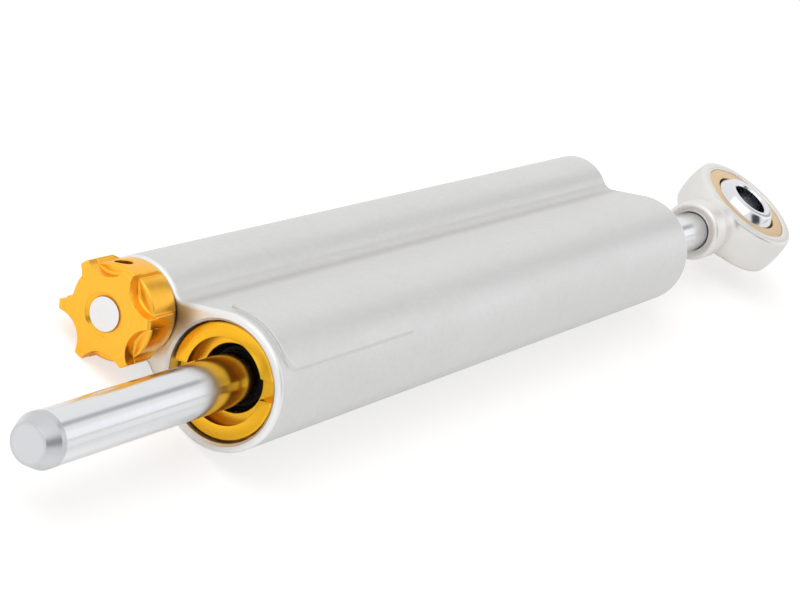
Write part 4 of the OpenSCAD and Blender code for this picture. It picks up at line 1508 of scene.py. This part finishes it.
@dataclass
class Spring:
    """A wire coil that is pressed together by a joint."""

    node: str
    body: str
    joint: str
    fixed: Side
    travel: float
    turns: float
    wire: float
    steps: int = 28
    wire_sides: int = 14
    sharp: float = 60.0

    def build_coil(self, shop: Workshop) -> bpy.types.Object:
        """Wind the coil, with its end turns lying flat.

        Args:
            shop: gives the finish's material.

        Returns:
            The coil's object.
        """
        box, half = Extent.of(self.node), self.wire / 2
        tree = GeometryTree(
            f"coil_{self.node}", Turns=self.turns, Radius=box.radius - half, Wire=half,
            Length=box.length - self.wire, Start=(box.lo.x + half, box.centre.y, box.centre.z),
            Material=shop.material(SPRING_STEEL))
        given = tree.given
        spiral = tree.add("GeometryNodeCurveSpiral", {
            "Resolution": self.steps, "Rotations": given["Turns"], "Start Radius": given["Radius"],
            "End Radius": given["Radius"], "Height": 0.0})
        share = tree.add("GeometryNodeSplineParameter").outputs["Factor"]
        lift = tree.add("ShaderNodeCombineXYZ", {2: tree.ramp(share, (0.0, 1.0), (0.0, given["Length"]))})
        moved = tree.add("GeometryNodeSetPosition", {"Geometry": spiral.outputs[0],
                                                     "Offset": lift.outputs[0]})
        ring = tree.add("GeometryNodeCurvePrimitiveCircle", {"Resolution": self.wire_sides,
                                                             "Radius": given["Wire"]})
        tube = tree.add("GeometryNodeCurveToMesh", {
            "Curve": moved.outputs[0], "Profile Curve": ring.outputs[0], "Fill Caps": True})
        laid = tree.add("GeometryNodeTransform", {"Geometry": tube.outputs[0], "Translation": given["Start"],
                                                  "Rotation": (0.0, math.pi / 2, 0.0)})
        name = f"{self.node}_coil"
        seed = bpy.data.objects.new(name, bpy.data.meshes.new(name))
        bpy.context.scene.collection.objects.link(seed)
        return tree.run(seed, laid.outputs[0], sharp=self.sharp)

    def build(self, shop: Workshop) -> None:
        """Make and dress the spring.

        Args:
            shop: dresses and places the pieces.
        """
        coil = shop.place(self.build_coil(shop), [SPRING_STEEL], self.body, self.node)
        box = Extent.of(self.node)
        1.0 - self.travel / box.length
        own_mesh(coil)


@dataclass
class Adjuster:
    """The spindle and the metering parts behind the knob."""

    detent: Spring

    def build(self, shop: Workshop) -> None:
        """Make and dress the adjuster."""
        shop.dress({"adjuster_spindle": BRIGHT_STEEL, "spindle_o_ring": RUBBER,
                    "spindle_retainer": DARK_STEEL, "adjuster_cartridge": BRASS, "cartridge_o_ring": RUBBER,
                    "metering_needle": BRIGHT_STEEL, "needle_seat": BRASS, "detent_ball": SPRING_STEEL})
        self.detent.build(shop)


@dataclass
class Compensator:
    """The sprung piston that takes up the oil's expansion, and its plug."""

    spring: Spring

    def build(self, shop: Workshop) -> None:
        """Make and dress the compensator."""
        shop.dress({"compensator_piston": TURNED_ALU, "compensator_o_ring": RUBBER,
                    "reservoir_plug": BODY_GREY, "reservoir_plug_o_ring": RUBBER, "plug_clip": DARK_STEEL,
                    "bleed_screw": DARK_STEEL})
        self.spring.build(shop)


# ---------------------------------------------------------------- studio


@dataclass(frozen=True)
class Panel:
    """A far soft box or dark flag, as bright metal sees it."""

    toward: Point3
    across: float
    along: float
    soft: float
    colour: Colour

    def mask(self, nodes: Nodes, look: bpy.types.NodeSocket) -> bpy.types.NodeSocket:
        """Find the directions that end on the panel.

        Args:
            nodes: the world's node helper.
            look: the direction looked in.

        Returns:
            One on the panel, zero off it, with a soft edge.
        """
        out = Vector(self.toward).normalized()
        side = Vector((1.0, 0.0, 0.0)).cross(out).normalized()
        depth = nodes.dot(look, out)
        ahead = nodes.math("MAXIMUM", depth, 0.001)
        mask = nodes.math("GREATER_THAN", depth, 0.0)
        for axis, half in ((side, self.across), (out.cross(side), self.along)):
            angle = nodes.math("ARCTAN2", nodes.math("ABSOLUTE", nodes.dot(look, axis)), ahead)
            start, stop = math.radians(half - self.soft / 2), math.radians(half + self.soft / 2)
            mask = nodes.math("MULTIPLY", mask, nodes.ramp(angle, (start, stop), (1.0, 0.0)))
        return mask


@dataclass
class Studio:
    """Floor, soft light, the panels that show in bright metal, and the camera."""

    camera_at: Point3 = (-0.36174, -0.09211, 0.18064)
    camera_right: Point3 = (0.4878, -0.6443, 0.5890)
    camera_up: Point3 = (0.1484, 0.7260, 0.6715)
    lens: float = 108.0
    clip: Point2 = (0.01, 50.0)
    lamp_at: Point3 = (-0.5, 0.4, 0.8)
    lamp_size: float = 0.8
    lamp_power: float = 6.0
    floor_size: float = 6.0
    floor_tone: Colour = (0.85, 0.85, 0.85)
    floor_seen: Colour = (0.50, 0.49, 0.48)
    floor_lift: float = 0.62
    # painted pool of light: the floor's glow in reflections, from the first level at the first place along X
    # to the second level at the second
    painted_pool_span: Point2 = (-0.098, -0.060)
    glow_with_painted_pool: Point2 = (0.28, 0.17)
    fill: Colour = (0.6, 0.6, 0.6)
    surround: Colour = (1.06, 1.06, 1.06)
    panels: tuple[Panel, ...] = (
        Panel((0.05, -0.75, 0.65), 14.0, 16.0, 12.0, (0.08, 0.085, 0.10)),
        Panel((0.84, 0.02, 0.54), 5.5, 22.0, 5.0, (0.52, 0.53, 0.55)),
        Panel((0.84, -0.36, 0.40), 9.0, 28.0, 6.0, (1.22, 1.22, 1.25)),
        Panel((0.86, -0.45, 0.24), 1.2, 28.0, 1.6, (0.60, 0.62, 0.66)),
        Panel((-0.45, 0.05, 0.85), 28.0, 14.0, 8.0, (1.9, 1.9, 1.9)),
        Panel((-0.86, -0.24, 0.45), 9.0, 9.0, 6.0, (0.10, 0.10, 0.11)),
    )

    def build_world(self) -> None:
        """Make a white surround with an even fill light, and panels that only bright metal shows."""
        world = bpy.data.worlds.new("studio")
        world.cycles.sampling_method = "NONE"
        nodes = Nodes.fresh(world)
        look = nodes.add("ShaderNodeTexCoord").outputs["Generated"]
        path = nodes.add("ShaderNodeLightPath").outputs
        seen: object = (*self.surround, 1.0)
        for panel in self.panels:
            seen = nodes.mix(panel.mask(nodes, look), seen, (*panel.colour, 1.0))
        lit = nodes.mix(path["Is Glossy Ray"], (*self.fill, 1.0), seen)
        clear = nodes.math("MAXIMUM", path["Is Camera Ray"], path["Is Transmission Ray"])
        colour = nodes.mix(clear, lit, WHITE)
        sky = nodes.add("ShaderNodeBackground", {"Color": colour, "Strength": 1.0})
        nodes.add("ShaderNodeOutputWorld", {"Surface": sky.outputs[0]})
        bpy.context.scene.world = world

    def build_floor(self, height: float) -> None:
        """Make the pale floor, which keeps a faint shadow, and which in reflections carries a painted pool of
        light that is brighter towards -X.

        Args:
            height: the floor's height.
        """
        make = Builder("floor")
        h = self.floor_size / 2
        corners = [(-h, -h, height), (h, -h, height), (h, h, height), (-h, h, height)]
        make.bm.faces.new([make.bm.verts.new(c) for c in corners])
        floor = make.finish()
        made = bpy.data.materials.new("pale_floor")
        made.cycles.emission_sampling = "NONE"
        nodes = Nodes.fresh(made)
        path = nodes.add("ShaderNodeLightPath").outputs
        clear = nodes.math("MAXIMUM", path["Is Camera Ray"], path["Is Transmission Ray"])
        place = nodes.add("ShaderNodeTexCoord").outputs["Object"]
        along = nodes.add("ShaderNodeSeparateXYZ", {0: place}).outputs[0]
        # painted pool of light, seen only in reflections: the floor glows more towards -X
        shown = nodes.math("MULTIPLY", path["Is Glossy Ray"], nodes.ramp(along, self.painted_pool_span, self.glow_with_painted_pool))
        level = nodes.math("ADD", shown, nodes.math("MULTIPLY", clear, self.floor_lift))
        tone = nodes.mix(clear, (*self.floor_tone, 1.0), (*self.floor_seen, 1.0))
        cloth = nodes.add("ShaderNodeBsdfDiffuse", {"Color": tone})
        glow_with_painted_pool = nodes.add("ShaderNodeEmission", {"Color": WHITE, "Strength": level})
        both = nodes.add("ShaderNodeAddShader", {0: cloth.outputs[0], 1: glow_with_painted_pool.outputs[0]})
        nodes.add("ShaderNodeOutputMaterial", {"Surface": both.outputs[0]})
        floor.data.materials.append(made)
        floor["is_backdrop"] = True

    def build_lamp(self) -> None:
        """Add a soft square lamp that looks at the origin."""
        data = bpy.data.lights.new("key", "AREA")
        data.size = self.lamp_size
        data.energy = self.lamp_power
        lamp = bpy.data.objects.new("key", data)
        lamp.location = self.lamp_at
        lamp.visible_glossy = False
        lamp.rotation_euler = (-Vector(self.lamp_at)).to_track_quat("-Z", "Y").to_euler()
        bpy.context.scene.collection.objects.link(lamp)

    def build_camera(self) -> None:
        """Make the camera at the photograph's angle."""
        right, up = Vector(self.camera_right).normalized(), Vector(self.camera_up).normalized()
        back = right.cross(up).normalized()
        up = back.cross(right)
        data = bpy.data.cameras.new("camera")
        data.lens = self.lens
        data.clip_start, data.clip_end = self.clip
        camera = bpy.data.objects.new("camera", data)
        turn = Matrix((right, up, back)).transposed().to_4x4()
        camera.matrix_world = Matrix.Translation(self.camera_at) @ turn
        bpy.context.scene.collection.objects.link(camera)
        bpy.context.scene.camera = camera

    def build(self, height: float) -> None:
        """Make the whole studio.

        Args:
            height: the floor's height.
        """
        bpy.context.scene.view_settings.view_transform = "Standard"
        self.build_world()
        self.build_floor(height)
        self.build_lamp()
        self.build_camera()


def main() -> None:
    """Build the studio and every sub-assembly."""
    logging.basicConfig(level=logging.INFO, format="%(message)s")
    cad_box = [list(corner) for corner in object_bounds()]
    shop = Workshop()
    Studio().build(cad_box[0][2])
    Body().build(shop)
    Gland(End.FRONT).build(shop)
    Gland(End.REAR).build(shop)
    Rod().build(shop)
    RodEnd().build(shop)
    Knob().build(shop)
    Adjuster(Spring("detent_spring", "knob", "detent_press", Side.LOW, travel=0.4 * MM, turns=4.0,
                    wire=0.28 * MM)).build(shop)
    Compensator(Spring("compensator_spring", "housing", "compensator_slide", Side.HIGH, travel=8.0 * MM,
                       turns=7.0, wire=0.9 * MM)).build(shop)


if __name__ == "__main__":
    main()
